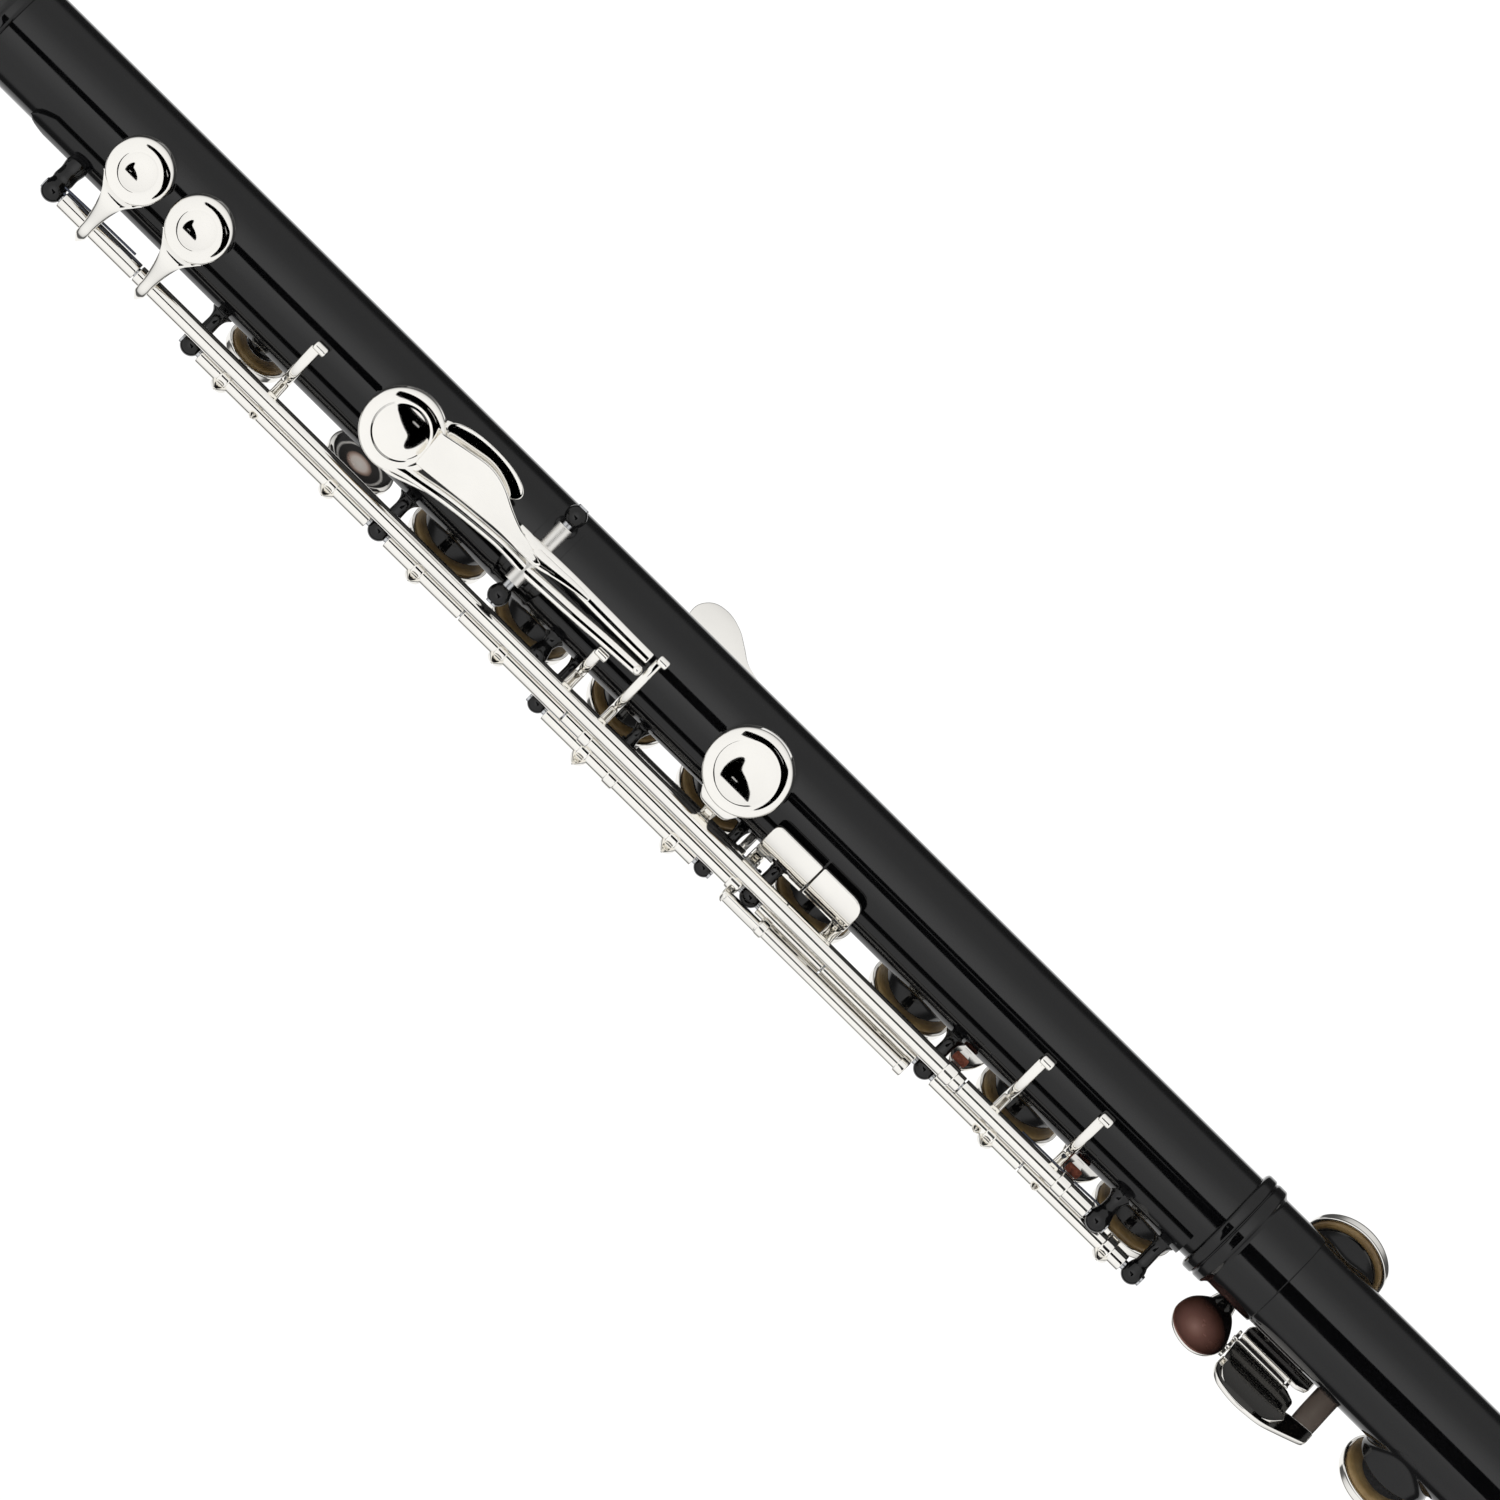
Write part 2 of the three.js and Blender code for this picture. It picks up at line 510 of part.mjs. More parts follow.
// second half of the B flat key: tube with a crossbar under the thumb levers, a plate,
// a bracket round the post at x 443.3 and a bridge to the F key
function bFlatBridge() {
  const hook = [polar(STRAP_MID_R, 31), [8.7, 8.4], [8.2, 10.9], [9.9, 13.1], [12.6, 13.6]];
  const bracketZ = [12.5, 14.7];
  return bored(union(
    rodX(HINGE_R, 397.2, 441.0, MAIN_LINE),
    kicker(402.6, 1.6, -46.8),
    strap(437.7, 440.5, 10, 34, 3),
    strip(hook, 1.2, 437.7, 440.5),
    strap(437.7, 448.85, -16.7, 30, 6),
    block([439.1, 440.9], [MAIN_LINE[0] - 0.4, 18.0], bracketZ),
    block([439.1, 449.2], [15.5, 18.0], bracketZ),
    rodX(1.35, 447.6, 484.4, BRIDGE_LINE),
  ), 390, 443, MAIN_LINE)
    .subtract(rodX(2.35, 441.0, 447, MAIN_LINE)) // room round the post
    .subtract(rodX(1.92, 444, 486, MAIN_LINE)); // room round the F sharp and F tubes
}
addPart('b_flat_bridge', bFlatBridge(), 'silver');

// G key: both cups on one tube
const G_KEYS = ['g_upper', 'g_lower'];
function gKey() {
  const tops = G_KEYS.map((key) => {
    const h = HOLES[key];
    return turnX(cup(h, 0.5).add(arm(h.x, spun(G_LINE, -h.turn), h.cupR, h.seat)), h.turn);
  });
  const tube = rodX(HINGE_R, 394.3, 431.5, G_LINE);
  const collar = rodX(2.0, 409.6, 412.2, G_LINE);
  return bored(union(opened(union(...tops), G_LINE), tube, collar), 390, 437, G_LINE);
}
for (const key of G_KEYS) addPad(key, G_LINE);
addPart('g_key', gKey(), 'silver');

// ---------------------------------------------------------------- back keys
// closed at rest: the cup faces the back and an arm runs round to it from the hinge tube
function addBackKey(key, { line, tubeR = HINGE_R, tube, bore, armPath, extras = [] }) {
  const h = HOLES[key];
  const body = union(
    turnX(cup(h, 0.3), h.turn),
    strip(armPath, PLATE_T, h.x - 1.5, h.x + 1.5),
    rodX(tubeR, ...tube, line),
    ...extras,
  );
  addPart(`${key}_key`, bored(body, ...bore, line), 'silver');
  addPad(key);
}

const smallTop = cupTop(SMALL_SEAT);
const TRILL_ARM = [
  polar(smallTop + 0.4, -35), polar(smallTop + 0.8, -20), polar(smallTop + 1.6, -10),
  polar(17.2, 2), polar(16.9, 16), polar(16.74, 25),
];
const TRILL_TOUCH_PATH = [[14.2, 8.3], [10.8, 9.5], [8.3, 12.0], [5.2, 14.3], [1.5, 15.1]];
// oval touch on a bent bar, with a collar on the trill tube
function trillTouch(x, halfLength, collarX) {
  return union(
    strip(TRILL_TOUCH_PATH, 1.4, x - 1.3, x + 1.3),
    prismZ(ellipse(x, 0.2, halfLength, 5.6, 16), 14.3, 15.7),
    rodX(2.1, collarX, collarX + 3, TRILL_LINE),
  );
}
addBackKey('trill_d', {
  line: TRILL_LINE, tube: [288.0, 493.4], bore: [280, 495], armPath: TRILL_ARM,
  extras: [trillTouch(490.4, 3.7, 488.9)],
});
addBackKey('trill_dsharp', {
  line: TRILL_LINE, tube: [269.2, 287.7], bore: [262, 290], armPath: TRILL_ARM,
});
const dSharpTouch = rodX(HINGE_R, 493.7, 525.2, TRILL_LINE).add(trillTouch(518.6, 4.3, 517.2));
addPart('trill_dsharp_touch', bored(dSharpTouch, 490, 530, TRILL_LINE), 'silver');

const largeTop = cupTop(SEAT);
const G_SHARP_ARM = [
  polar(largeTop + 0.4, -35), polar(largeTop + 0.7, -22), polar(largeTop + 1.6, -12),
  polar(largeTop + 2.3, -5.5), polar(largeTop + 2.0, -0.5), polar(15.6, 5), polar(13.4, 13),
  polar(12.6, 24), [G_SHARP_LINE[0], G_SHARP_LINE[1] - 0.6],
];
// bar over the top of the tube, [y, z]
const G_SHARP_OVER = [
  [10.4, 10.4], [7.4, 12.6], [3.0, 13.6], [-3.0, 13.3], [-8.5, 11.0], [-13.2, 6.6], [-17.5, 4.6],
];
// touch plate outline, [x, y], and its bend, [y, z]
const G_SHARP_PLATE = [
  [437.0, -13.2], [437.0, -15.6], [428, -16.6], [420, -17.0], [414.6, -18.0], [411.5, -20.2],
  [408.6, -22.4], [405.2, -23.6], [402.0, -22.8], [399.9, -19.8], [400.2, -16.6],
  [402.6, -14.4], [410, -13.0], [424, -13.0],
];
const G_SHARP_BEND = [[-12.4, 6.4], [-15, 5.1], [-19, 4.1], [-24.5, 3.3]];
addBackKey('g_sharp', {
  line: G_SHARP_LINE, tubeR: 1.5, tube: [410.4, 436.9], bore: [405, 441], armPath: G_SHARP_ARM,
  extras: [
    strip(G_SHARP_OVER, 1.4, 435.4, 437.0),
    bentPlate(G_SHARP_PLATE, G_SHARP_BEND, 395, 440, 2, 8),
  ],
});

// ---------------------------------------------------------------- thumb keys
// outlines are in the thumb frame: [x, y], except the lever neck in [x, z]
const THUMB_B_LINK = [[347.5, 0.7], [345.2, 4.2], [349.2, 5.2], [351.8, 2.2]];
const THUMB_B_ARM = [
  [344.6, -9.2], [349.5, -8.3], [357, -7.1], [365, -6.6], [371, -6.9], [375.6, -7.2],
  [375.6, -4.9], [371, -4.4], [364, -4.1], [356, -4.8], [349.4, -6.3], [347.6, -7.0],
];
const THUMB_B_TAIL = [
  [THUMB_X, -8.1], [379, -7.7], [385, -6.3], [396, -5.2], [401.3, -5.0],
  [401.3, -3.0], [395, -3.0], [384, -3.9], [378, -5.0], [THUMB_X, -5.2],
];
const LEVER_PADDLE = [
  [347.0, 1.6], [347.0, -5.2], [349, -5.5], [360, -4.2], [367, -3.5], [372.2, -3.2],
  [372.2, -1.4], [368.3, -0.4], [365.3, 0.8], [361.2, 2.9], [357.2, 3.7], [352.6, 2.9],
];
const LEVER_NECK = [
  [367.0, 17.0], [369.6, 16.3], [371.3, 14.6], [372.4, 12.6],
  [375.5, 12.6], [375.5, 14.4], [372.6, 17.0], [367.0, 17.7],
];
const LEVER_TAIL = [
  [THUMB_X, 1.0], [378, 0.4], [401.0, 0.0], [401.0, -1.6], [378, -1.5], [THUMB_X, -1.6],
];
const TAIL_Z = [11.9, 13.1];
const THUMB_TUBE_R = 1.7;

// raise the cup end of the B key off its hole
const thumbOpened = (part) => turnAbout(part,
  new THREE.Matrix4().makeRotationY(rad(THUMB_OPEN_DEG)), THUMB_X, 0, THUMB_H);
const inThumbFrame = (part) => turnX(part, BACK_TURN - THUMB_TURN);

// B key: cup with an oval touch growing from its rim, and a long arm over the axle to a tail
function thumbBKey() {
  const tube = thumbRod(THUMB_TUBE_R, -2.2, -8.5, 10);
  const touch = prismZ(ellipse(355.4, 3.4, 9.2, 2.9, 18), 14.6, 15.7);
  const link = prismZ(THUMB_B_LINK, 14.8, 15.7);
  const cupEnd = union(inThumbFrame(cup(HOLES.thumb_b, 0.2)), touch.add(link),
    prismZ(THUMB_B_ARM, 12.9, 14.1), tube);
  return union(thumbOpened(cupEnd), prismZ(THUMB_B_TAIL, ...TAIL_Z), tube).subtract(thumbBore);
}
// B flat lever: teardrop touch sloping down to the axle, with a bar on to the crossbar
function thumbBFlatLever() {
  const [slopeX, slopeY] = [-0.13, 0.2126];
  const [anchorX, anchorY, anchorZ] = [347, 1.8, 19.8]; // a point on the underside plane
  const slope = new THREE.Matrix4().set(
    1, 0, 0, 0,
    0, 1, 0, 0,
    slopeX, slopeY, 1, anchorZ - slopeX * anchorX - slopeY * anchorY,
    0, 0, 0, 1,
  );
  return union(
    moved(prismZ(LEVER_PADDLE, 0, 1.15), slope),
    prismY(LEVER_NECK, -1.9, 0.4),
    prismZ(LEVER_TAIL, ...TAIL_Z),
    thumbRod(THUMB_TUBE_R, -1.9, 5.2, 10),
  ).subtract(thumbBore);
}
const thumbPad = thumbOpened(inThumbFrame(pad(HOLES.thumb_b)));
addPart('thumb_b_key', fromThumbFrame(thumbBKey()), 'silver');
addPart('thumb_b_pad', fromThumbFrame(thumbPad), 'pad');
addPart('thumb_b_flat_lever', fromThumbFrame(thumbBFlatLever()), 'silver');

// ---------------------------------------------------------------- foot joint
const FOOT_END_X = 665.6;
const SOCKET_END_X = 555.0;
const SOCKET_R = 9.87;
const FOOT_PROFILE = [ // [x, radius]
  [543.5, 0], [543.5, 10.6], [544.1, 10.9], [545.0, 11.2], [546.2, 11.0], [547.4, 11.2],
  [548.6, 10.9], [549.1, 10.5], [549.3, 10.25], [559.2, 10.25], [559.4, TUBE_R],
  [663.6, TUBE_R], [664.0, 10.4], [665.2, 10.4], [FOOT_END_X, 10.1], [FOOT_END_X, 0],
];
const FOOT_BORE_PROFILE = [ // [x, radius]
  [540, 0], [540, SOCKET_R], [SOCKET_END_X, SOCKET_R], [SOCKET_END_X, BORE_R],
  [670, BORE_R], [670, 0],
];
const FOOT_RIB_BED = [ // [x, radius]
  [549, 0], [549, 10.32], [559.5, 10.32], [559.5, BED_R], [648, BED_R], [648, 0],
];
function footRib() {
  const rib = union(
    sector(549.9, 559.0, 10.4, 11.2, 108, 160, 7),
    sector(558.6, 646.5, RIB_R0, 11.2, 108, 160, 7),
    ...[551.2, 607.3, 643.0].map((x) => post(x, FOOT_LINE)),
  );
  const cleared = clearHoles(rib, Object.values(FOOT_HOLES), 0.4, 12.4);
  return bored(cleared.subtract(latheX(FOOT_RIB_BED)), 545, 650, FOOT_LINE);
}
const footTube = tubeWithHoles(latheX(FOOT_PROFILE), latheX(FOOT_BORE_PROFILE), FOOT_HOLES);
addPart('foot_tube', footTube, 'lacquer');
addPart('foot_rib', footRib(), 'lacquer');

// open cup with its arm to the -Y hinge line
function footCup(key) {
  const h = HOLES[key];
  const [hingeY, hingeZ] = spun(FOOT_LINE, -h.turn);
  const armToHinge = mirrorY(arm(h.x, [-hingeY, hingeZ], h.cupR, h.seat));
  return opened(turnX(cup(h, 0.5).add(armToHinge), h.turn), FOOT_LINE);
}

// D sharp key: cup on the -Y side, touch on top
const DSHARP_ARM = [
  polar(largeTop + 0.4, 183), polar(largeTop + 0.95, 165), polar(largeTop + 2.2, 153),
  polar(17.4, 144), FOOT_LINE,
];
const DSHARP_PLATE = [ // [x, y]
  [547.4, 8.2], [548.6, 4.0], [551.4, 0.5], [553.6, -9], [557.0, -9], [557.4, 0.5],
  [559.0, 4.6], [559.2, 8.4], [557.6, 12.0], [554.4, 13.8], [550.6, 12.8], [548.2, 10.6],
];
const DSHARP_BEND = [[-10, 13.1], [-5, 15.0], [0, 16.3], [6, 17.0], [11, 16.9], [15, 16.2]];
function footDSharpKey() {
  const h = HOLES.foot_dsharp;
  return bored(union(
    turnX(cup(h, 0.3), h.turn),
    strip(DSHARP_ARM, PLATE_T, h.x - 1.6, h.x + 1.6),
    rodX(HINGE_R, 553.5, 571.4, FOOT_LINE),
    bentPlate(DSHARP_PLATE, DSHARP_BEND, 545, 562),
  ), 545, 580, FOOT_LINE);
}
addPart('foot_dsharp_key', footDSharpKey(), 'silver');
addPad('foot_dsharp');

// the two end cheeks that hold a roller, and the hole for its pin
const forks = (ySpan, zSpan) =>
  [[559.9, 560.6], [572.4, 573.1]].map((xSpan) => block(xSpan, ySpan, zSpan));
const pinHole = (line) => rodX(0.55, 558, 575, line, 10);

// C sharp key: one tube with the touch plate farther from the hinge, its roller forks and cup
const CSHARP_BAR = [[-10.5, 13.3], [-5, 15.3], [0, 17.4], [5, 18.2], [9.0, 17.2]];
const CSHARP_PLATE = [ // [x, y]
  [560.6, 7.4], [574.9, 7.4], [577.4, 6.4], [582.2, 5.6], [582.2, 9.0],
  [577.6, 12.2], [573.4, 14.3], [563.5, 14.6], [560.6, 12.4],
];
const CSHARP_BEND = [[4, 18.0], [8, 17.4], [12, 16.6], [16, 15.5]];
function footCSharpKey() {
  const touch = union(
    strip(CSHARP_BAR, PLATE_T, 577.0, 582.2),
    bentPlate(CSHARP_PLATE, CSHARP_BEND, 555, 585),
    ...forks([5.1, 8.8], [16.3, 17.7]),
  );
  const body = union(footCup('foot_csharp'), rodX(HINGE_R, 576.8, 604.9, FOOT_LINE), touch);
  return bored(body, 570, 610, FOOT_LINE).subtract(pinHole(CS_ROLLER_LINE));
}
addPad('foot_csharp', FOOT_LINE);
addPart('foot_csharp_key', footCSharpKey(), 'silver');

// C key: touch plate nearer the hinge with its roller forks, and the last cup as a second piece
const C_BEND = [[-6, 15.2], [-2.5, 16.2], [2, 16.5]];
const C_BAR = [[-10.5, 13.3], [-6, 15.2], [-2.5, 16.2], [0.9, 16.4]];
const C_PLATE = [ // [x, y]
  [560.6, -2.6], [572.8, -2.6], [576.4, -5], [576.4, 1.4], [560.6, 1.4],
];
function footCTouch() {
  return bored(union(
    rodX(HINGE_R, 571.7, 576.5, FOOT_LINE),
    strip(C_BAR, PLATE_T, 572.3, 576.4),
    bentPlate(C_PLATE, C_BEND, 555, 580),
    ...forks([0.6, 3.6], [15.9, 17.2]),
  ), 565, 580, FOOT_LINE).subtract(pinHole(C_ROLLER_LINE));
}
const footCKey = footCup('foot_c').add(rodX(HINGE_R, 609.8, 640.6, FOOT_LINE));
addPart('foot_c_touch', footCTouch(), 'silver');
addPad('foot_c', FOOT_LINE);
addPart('foot_c_key', bored(footCKey, 600, 645, FOOT_LINE), 'silver');

// roller with its pin
const roller = (line) => rodX(1.1, 560.9, 572.1, line).add(rodX(0.45, 559.8, 573.2, line, 10));
addPart('c_roller', roller(C_ROLLER_LINE), 'silver');
addPart('c_sharp_roller', roller(CS_ROLLER_LINE), 'silver');

export default group;
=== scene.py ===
# A flute in three joints with its keywork.
# The bore lies along X, from the crown at x = 0 to the foot end at x = 665. The main tone
# holes face +Z and the long hinge rods run on the +Y side. "The back" is the side facing
# +Y and -Z, which the camera looks at. Shapes are worked out in millimetres and scaled to
# metres when their meshes are made.
import math
from typing import NamedTuple

import bmesh
import bpy
from mathutils import Matrix, Vector


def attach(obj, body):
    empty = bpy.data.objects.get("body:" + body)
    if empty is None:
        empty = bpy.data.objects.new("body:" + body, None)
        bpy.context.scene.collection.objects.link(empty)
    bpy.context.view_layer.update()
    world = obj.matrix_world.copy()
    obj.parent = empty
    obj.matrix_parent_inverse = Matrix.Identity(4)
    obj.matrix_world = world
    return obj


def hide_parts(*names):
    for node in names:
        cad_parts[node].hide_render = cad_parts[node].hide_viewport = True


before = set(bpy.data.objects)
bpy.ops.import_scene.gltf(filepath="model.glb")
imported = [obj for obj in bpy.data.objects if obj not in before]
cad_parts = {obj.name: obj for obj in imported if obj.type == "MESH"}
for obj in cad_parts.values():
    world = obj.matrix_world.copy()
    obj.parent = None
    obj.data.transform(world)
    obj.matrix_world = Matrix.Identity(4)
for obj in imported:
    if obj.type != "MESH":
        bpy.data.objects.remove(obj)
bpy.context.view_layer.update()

MM = 0.001
HALF_ROOT = 0.70710678
ALONG = (1, 0, 0)                                   # along the bore
ACROSS_BACK = Vector((0, HALF_ROOT, HALF_ROOT))     # across the back, towards the rods
OUT_BACK = Vector((0, HALF_ROOT, -HALF_ROOT))       # outwards at the back
# (along, across, outwards) at the back -> frame
BACK_FRAME = Matrix(((1, 0, 0, 0), (0, HALF_ROOT, HALF_ROOT, 0),
                     (0, HALF_ROOT, -HALF_ROOT, 0), (0, 0, 0, 1)))

# ------------------------------------------------------------------ driving dimensions (mm)
TUBE_R, BORE_R = 9.8, 9.5
TUBE_SIDES = 144
SEAT, SMALL_SEAT = 12.0, 11.6       # tone hole rims, from the bore axis
CHIMNEY_WALL = 0.6
PAD_GAP, PAD_THICK = 0.1, 2.6
CUP_ABOVE_PAD = 0.92
OPEN_ANGLE, THUMB_OPEN_ANGLE = 9.5, 3.9             # degrees that the open keys stand off
HINGE_BORE = 1.02
EMBOUCHURE_X = 62.0

# hinge lines, as (y, z)
MAIN, TRILL, G_LINE = (13.0, 13.1), (14.6, 8.2), (12.3, 16.8)
G_SHARP_LINE, FOOT, BRIDGE = (10.8, 10.4), (-10.5, 12.3), (16.3, 13.6)
THUMB_X, THUMB_OUT = 373.9, 12.5                    # the thumb axle crosses the tube here
TOUCH_X = 339.3                                     # round touch of the C sharp key

# hole angles about X, in degrees from +Z; positive ones lean towards -Y
TOP, G_SIDE, BACK, FRONT, FOOT_SIDE = 0, 10, -123, 90, -15


def turned(point, degrees):
    """A (y, z) point turned about the bore axis."""
    c, s = math.cos(math.radians(degrees)), math.sin(math.radians(degrees))
    return (point[0] * c - point[1] * s, point[0] * s + point[1] * c)


class Hole(NamedTuple):
    x: float
    angle: float
    outer: float        # chimney radius
    seat: float         # rim height from the bore axis
    cup: float          # key cup radius

    @property
    def inner(self):
        return self.outer - CHIMNEY_WALL

    @property
    def crown(self):
        """Height of the key cup's top."""
        return self.seat + PAD_GAP + PAD_THICK + CUP_ABOVE_PAD

    @property
    def frame(self):
        """Carries local Z to the hole's axis."""
        return (Matrix.Translation((self.x, 0, 0))
                @ Matrix.Rotation(math.radians(self.angle), 4, "X"))

    def rodward(self, reach, height):
        """(y, z) at a reach from the hole's axis towards the rods."""
        return turned((-reach, height), self.angle)


BODY_HOLES = {
    "trill_dsharp": Hole(276.0, BACK, 4.5, SMALL_SEAT, 6.3),
    "trill_d": Hole(290.7, BACK, 4.5, SMALL_SEAT, 6.3),
    "c_sharp": Hole(312.4, TOP, 4.4, SMALL_SEAT, 6.25),
    "thumb_b": Hole(341.2, BACK, 6.4, SEAT, 7.9),
    "b_flat": Hole(360.8, TOP, 7.2, SEAT, 8.4),
    "a": Hole(381.3, TOP, 7.2, SEAT, 8.5),
    "g_upper": Hole(404.1, G_SIDE, 7.2, SEAT, 8.5),
    "g_lower": Hole(426.4, G_SIDE, 7.2, SEAT, 8.5),
    "g_sharp": Hole(427.4, BACK, 6.8, SEAT, 8.25),
    "f_sharp": Hole(451.9, TOP, 7.3, SEAT, 8.6),
    "f": Hole(476.5, TOP, 7.3, SEAT, 8.6),
    "e": Hole(503.5, TOP, 7.3, SEAT, 8.7),
    "d": Hole(532.3, TOP, 7.3, SEAT, 8.7),
}
FOOT_HOLES = {
    "foot_dsharp": Hole(564.0, FRONT, 7.6, SEAT, 8.8),
    "foot_csharp": Hole(596.6, FOOT_SIDE, 7.7, SEAT, 8.8),
    "foot_c": Hole(632.2, FOOT_SIDE, 7.7, SEAT, 8.8),
}
HOLES = {**BODY_HOLES, **FOOT_HOLES}


# ------------------------------------------------------------------ material helpers
def start_material(name):
    material = bpy.data.materials.new(name)
    material.use_nodes = True
    tree = material.node_tree
    return material, tree, tree.nodes["Principled BSDF"]


def ramp(tree, factor, stops):
    """Colour ramp; each stop is (position, grey or rgb)."""
    node = tree.nodes.new("ShaderNodeValToRGB")
    tree.links.new(factor, node.inputs[0])
    elements = node.color_ramp.elements
    while len(elements) > 1:
        elements.remove(elements[-1])
    for i, (position, value) in enumerate(stops):
        element = elements[0] if i == 0 else elements.new(position)
        element.position = position
        element.color = (*value, 1) if isinstance(value, tuple) else (value, value, value, 1)
    return node.outputs[0]


def noise(tree, scale, detail=3, stretch=None):
    vector = tree.nodes.new("ShaderNodeTexCoord").outputs["Object"]
    if stretch:
        mapping = tree.nodes.new("ShaderNodeMapping")
        mapping.inputs["Scale"].default_value = stretch
        tree.links.new(vector, mapping.inputs[0])
        vector = mapping.outputs[0]
    node = tree.nodes.new("ShaderNodeTexNoise")
    node.inputs["Scale"].default_value = scale
    node.inputs["Detail"].default_value = detail
    tree.links.new(vector, node.inputs["Vector"])
    return node.outputs["Fac"]


def mottle(tree, socket, stops, **pattern):
    """Drive a socket with noise through a ramp."""
    tree.links.new(ramp(tree, noise(tree, **pattern), stops), socket)


def finish_surface(tree, bsdf, roughness, relief, metallic):
    bsdf.inputs["Metallic"].default_value = metallic
    if isinstance(roughness, dict):
        mottle(tree, bsdf.inputs["Roughness"], **roughness)
    else:
        bsdf.inputs["Roughness"].default_value = roughness
    strength, distance, pattern = relief
    height = noise(tree, **pattern)
    node = tree.nodes.new("ShaderNodeBump")
    node.inputs["Strength"].default_value = strength
    node.inputs["Distance"].default_value = distance
    tree.links.new(height, node.inputs["Height"])
    tree.links.new(node.outputs[0], bsdf.inputs["Normal"])


def surface(name, colour, roughness, relief, metallic=0.0):
    """colour and roughness are mottle arguments; relief is (strength, distance in m, noise)."""
    material, tree, bsdf = start_material(name)
    mottle(tree, bsdf.inputs["Base Color"], **colour)
    finish_surface(tree, bsdf, roughness, relief, metallic)
    return material


def dimmed(colour, factor):
    return tuple(c * factor for c in colour)


# ------------------------------------------------------------------ materials
def lacquer():
    material = surface(
        "black_lacquer",
        colour=dict(scale=60, detail=4, stops=[(0.3, (0.0022, 0.0023, 0.0028)),
                                               (0.7, (0.0040, 0.0040, 0.0044))]),
        roughness=dict(scale=140, detail=5, stops=[(0.35, 0.055), (0.62, 0.085), (0.8, 0.13)]),
        relief=(0.012, 0.00005, dict(scale=900, detail=2)))
    tree = material.node_tree
    weight = tree.nodes.new("ShaderNodeLayerWeight")
    weight.inputs["Blend"].default_value = 0.5
    # reflections weaken towards grazing view
    specular = ramp(tree, weight.outputs["Facing"],
                    [(0.0, 0.62), (0.012, 0.585), (0.036, 0.50), (0.083, 0.40), (0.21, 0.34),
                     (0.40, 0.30)])
    tree.links.new(specular, tree.nodes["Principled BSDF"].inputs["Specular IOR Level"])
    return material


def silver(name, base, smoothest, roughest):
    return surface(
        name,
        colour=dict(scale=90, detail=4, stops=[(0.35, dimmed(base, 0.965)), (0.65, base)]),
        roughness=dict(scale=260, detail=5, stretch=(0.25, 1, 1),
                       stops=[(0.3, smoothest), (0.6, (smoothest + roughest) / 2),
                              (0.85, roughest)]),
        relief=(0.012, 0.00004, dict(scale=700, detail=3)), metallic=1.0)


def steel(name, base):
    """Steel drawn along X."""
    return surface(
        name,
        colour=dict(scale=500, detail=4, stretch=(0.1, 1, 1),
                    stops=[(0.3, dimmed(base, 0.8)), (0.7, base)]),
        roughness=dict(scale=900, detail=3, stretch=(0.05, 1, 1),
                       stops=[(0.3, 0.14), (0.7, 0.3)]),
        relief=(0.08, 0.00004, dict(scale=1600, detail=2, stretch=(0.04, 1, 1))), metallic=1.0)


def pad_skin():
    material = surface(
        "pad_skin",
        colour=dict(scale=220, detail=5, stops=[(0.25, (0.20, 0.12, 0.045)),
                                                (0.5, (0.34, 0.22, 0.085)),
                                                (0.75, (0.48, 0.34, 0.15))]),
        roughness=dict(scale=500, detail=3, stops=[(0.3, 0.28), (0.7, 0.5)]),
        relief=(0.35, 0.00012, dict(scale=1300, detail=4)))
    bsdf = material.node_tree.nodes["Principled BSDF"]
    bsdf.inputs["Sheen Weight"].default_value = 0.15
    return material


def cork():
    return surface(
        "cork",
        colour=dict(scale=1500, detail=5, stops=[(0.28, (0.09, 0.022, 0.012)),
                                                 (0.5, (0.24, 0.065, 0.035)),
                                                 (0.75, (0.36, 0.12, 0.07))]),
        roughness=0.85, relief=(0.6, 0.0002, dict(scale=2200, detail=4)))


# Painted shade: near-black material for the middle of each pad, standing in for the shade under the
# cup.
def pad_middle_shade():
    material = surface(
        "pad_middle_painted_shade",
        colour=dict(scale=1800, detail=5, stops=[(0.3, (0.012, 0.012, 0.014)),
                                                 (0.7, (0.04, 0.038, 0.04))]),
        roughness=0.95, relief=(0.8, 0.0002, dict(scale=3000, detail=4)))
    bsdf = material.node_tree.nodes["Principled BSDF"]
    bsdf.inputs["Sheen Weight"].default_value = 0.4
    return material


def radial_painted_light(name, centre, radii, stops, metallic, smoothest, roughest):
    """Painted reflection and shade: colour by distance from a point, standing in for what undersides
    mirror of their surroundings.
    """
    material, tree, bsdf = start_material(name)
    scale = tuple(1 / (radius * MM) for radius in radii)
    coordinates = tree.nodes.new("ShaderNodeTexCoord")
    mapping = tree.nodes.new("ShaderNodeMapping")
    mapping.inputs["Scale"].default_value = scale
    mapping.inputs["Location"].default_value = tuple(-c * MM * k for c, k in zip(centre, scale))
    tree.links.new(coordinates.outputs["Object"], mapping.inputs[0])
    distance = tree.nodes.new("ShaderNodeVectorMath")
    distance.operation = "LENGTH"
    tree.links.new(mapping.outputs[0], distance.inputs[0])
    wobble = tree.nodes.new("ShaderNodeMath")
    wobble.operation = "MULTIPLY_ADD"
    wobble.inputs[1].default_value = 0.16       # how far noise shifts the distance
    tree.links.new(noise(tree, scale=160), wobble.inputs[0])
    tree.links.new(distance.outputs["Value"], wobble.inputs[2])
    tree.links.new(ramp(tree, wobble.outputs[0], stops), bsdf.inputs["Base Color"])
    finish_surface(tree, bsdf,
                   roughness=dict(scale=300, detail=4, stops=[(0.3, smoothest), (0.7, roughest)]),
                   relief=(0.04, 0.00006, dict(scale=900, detail=3)), metallic=metallic)
    return material


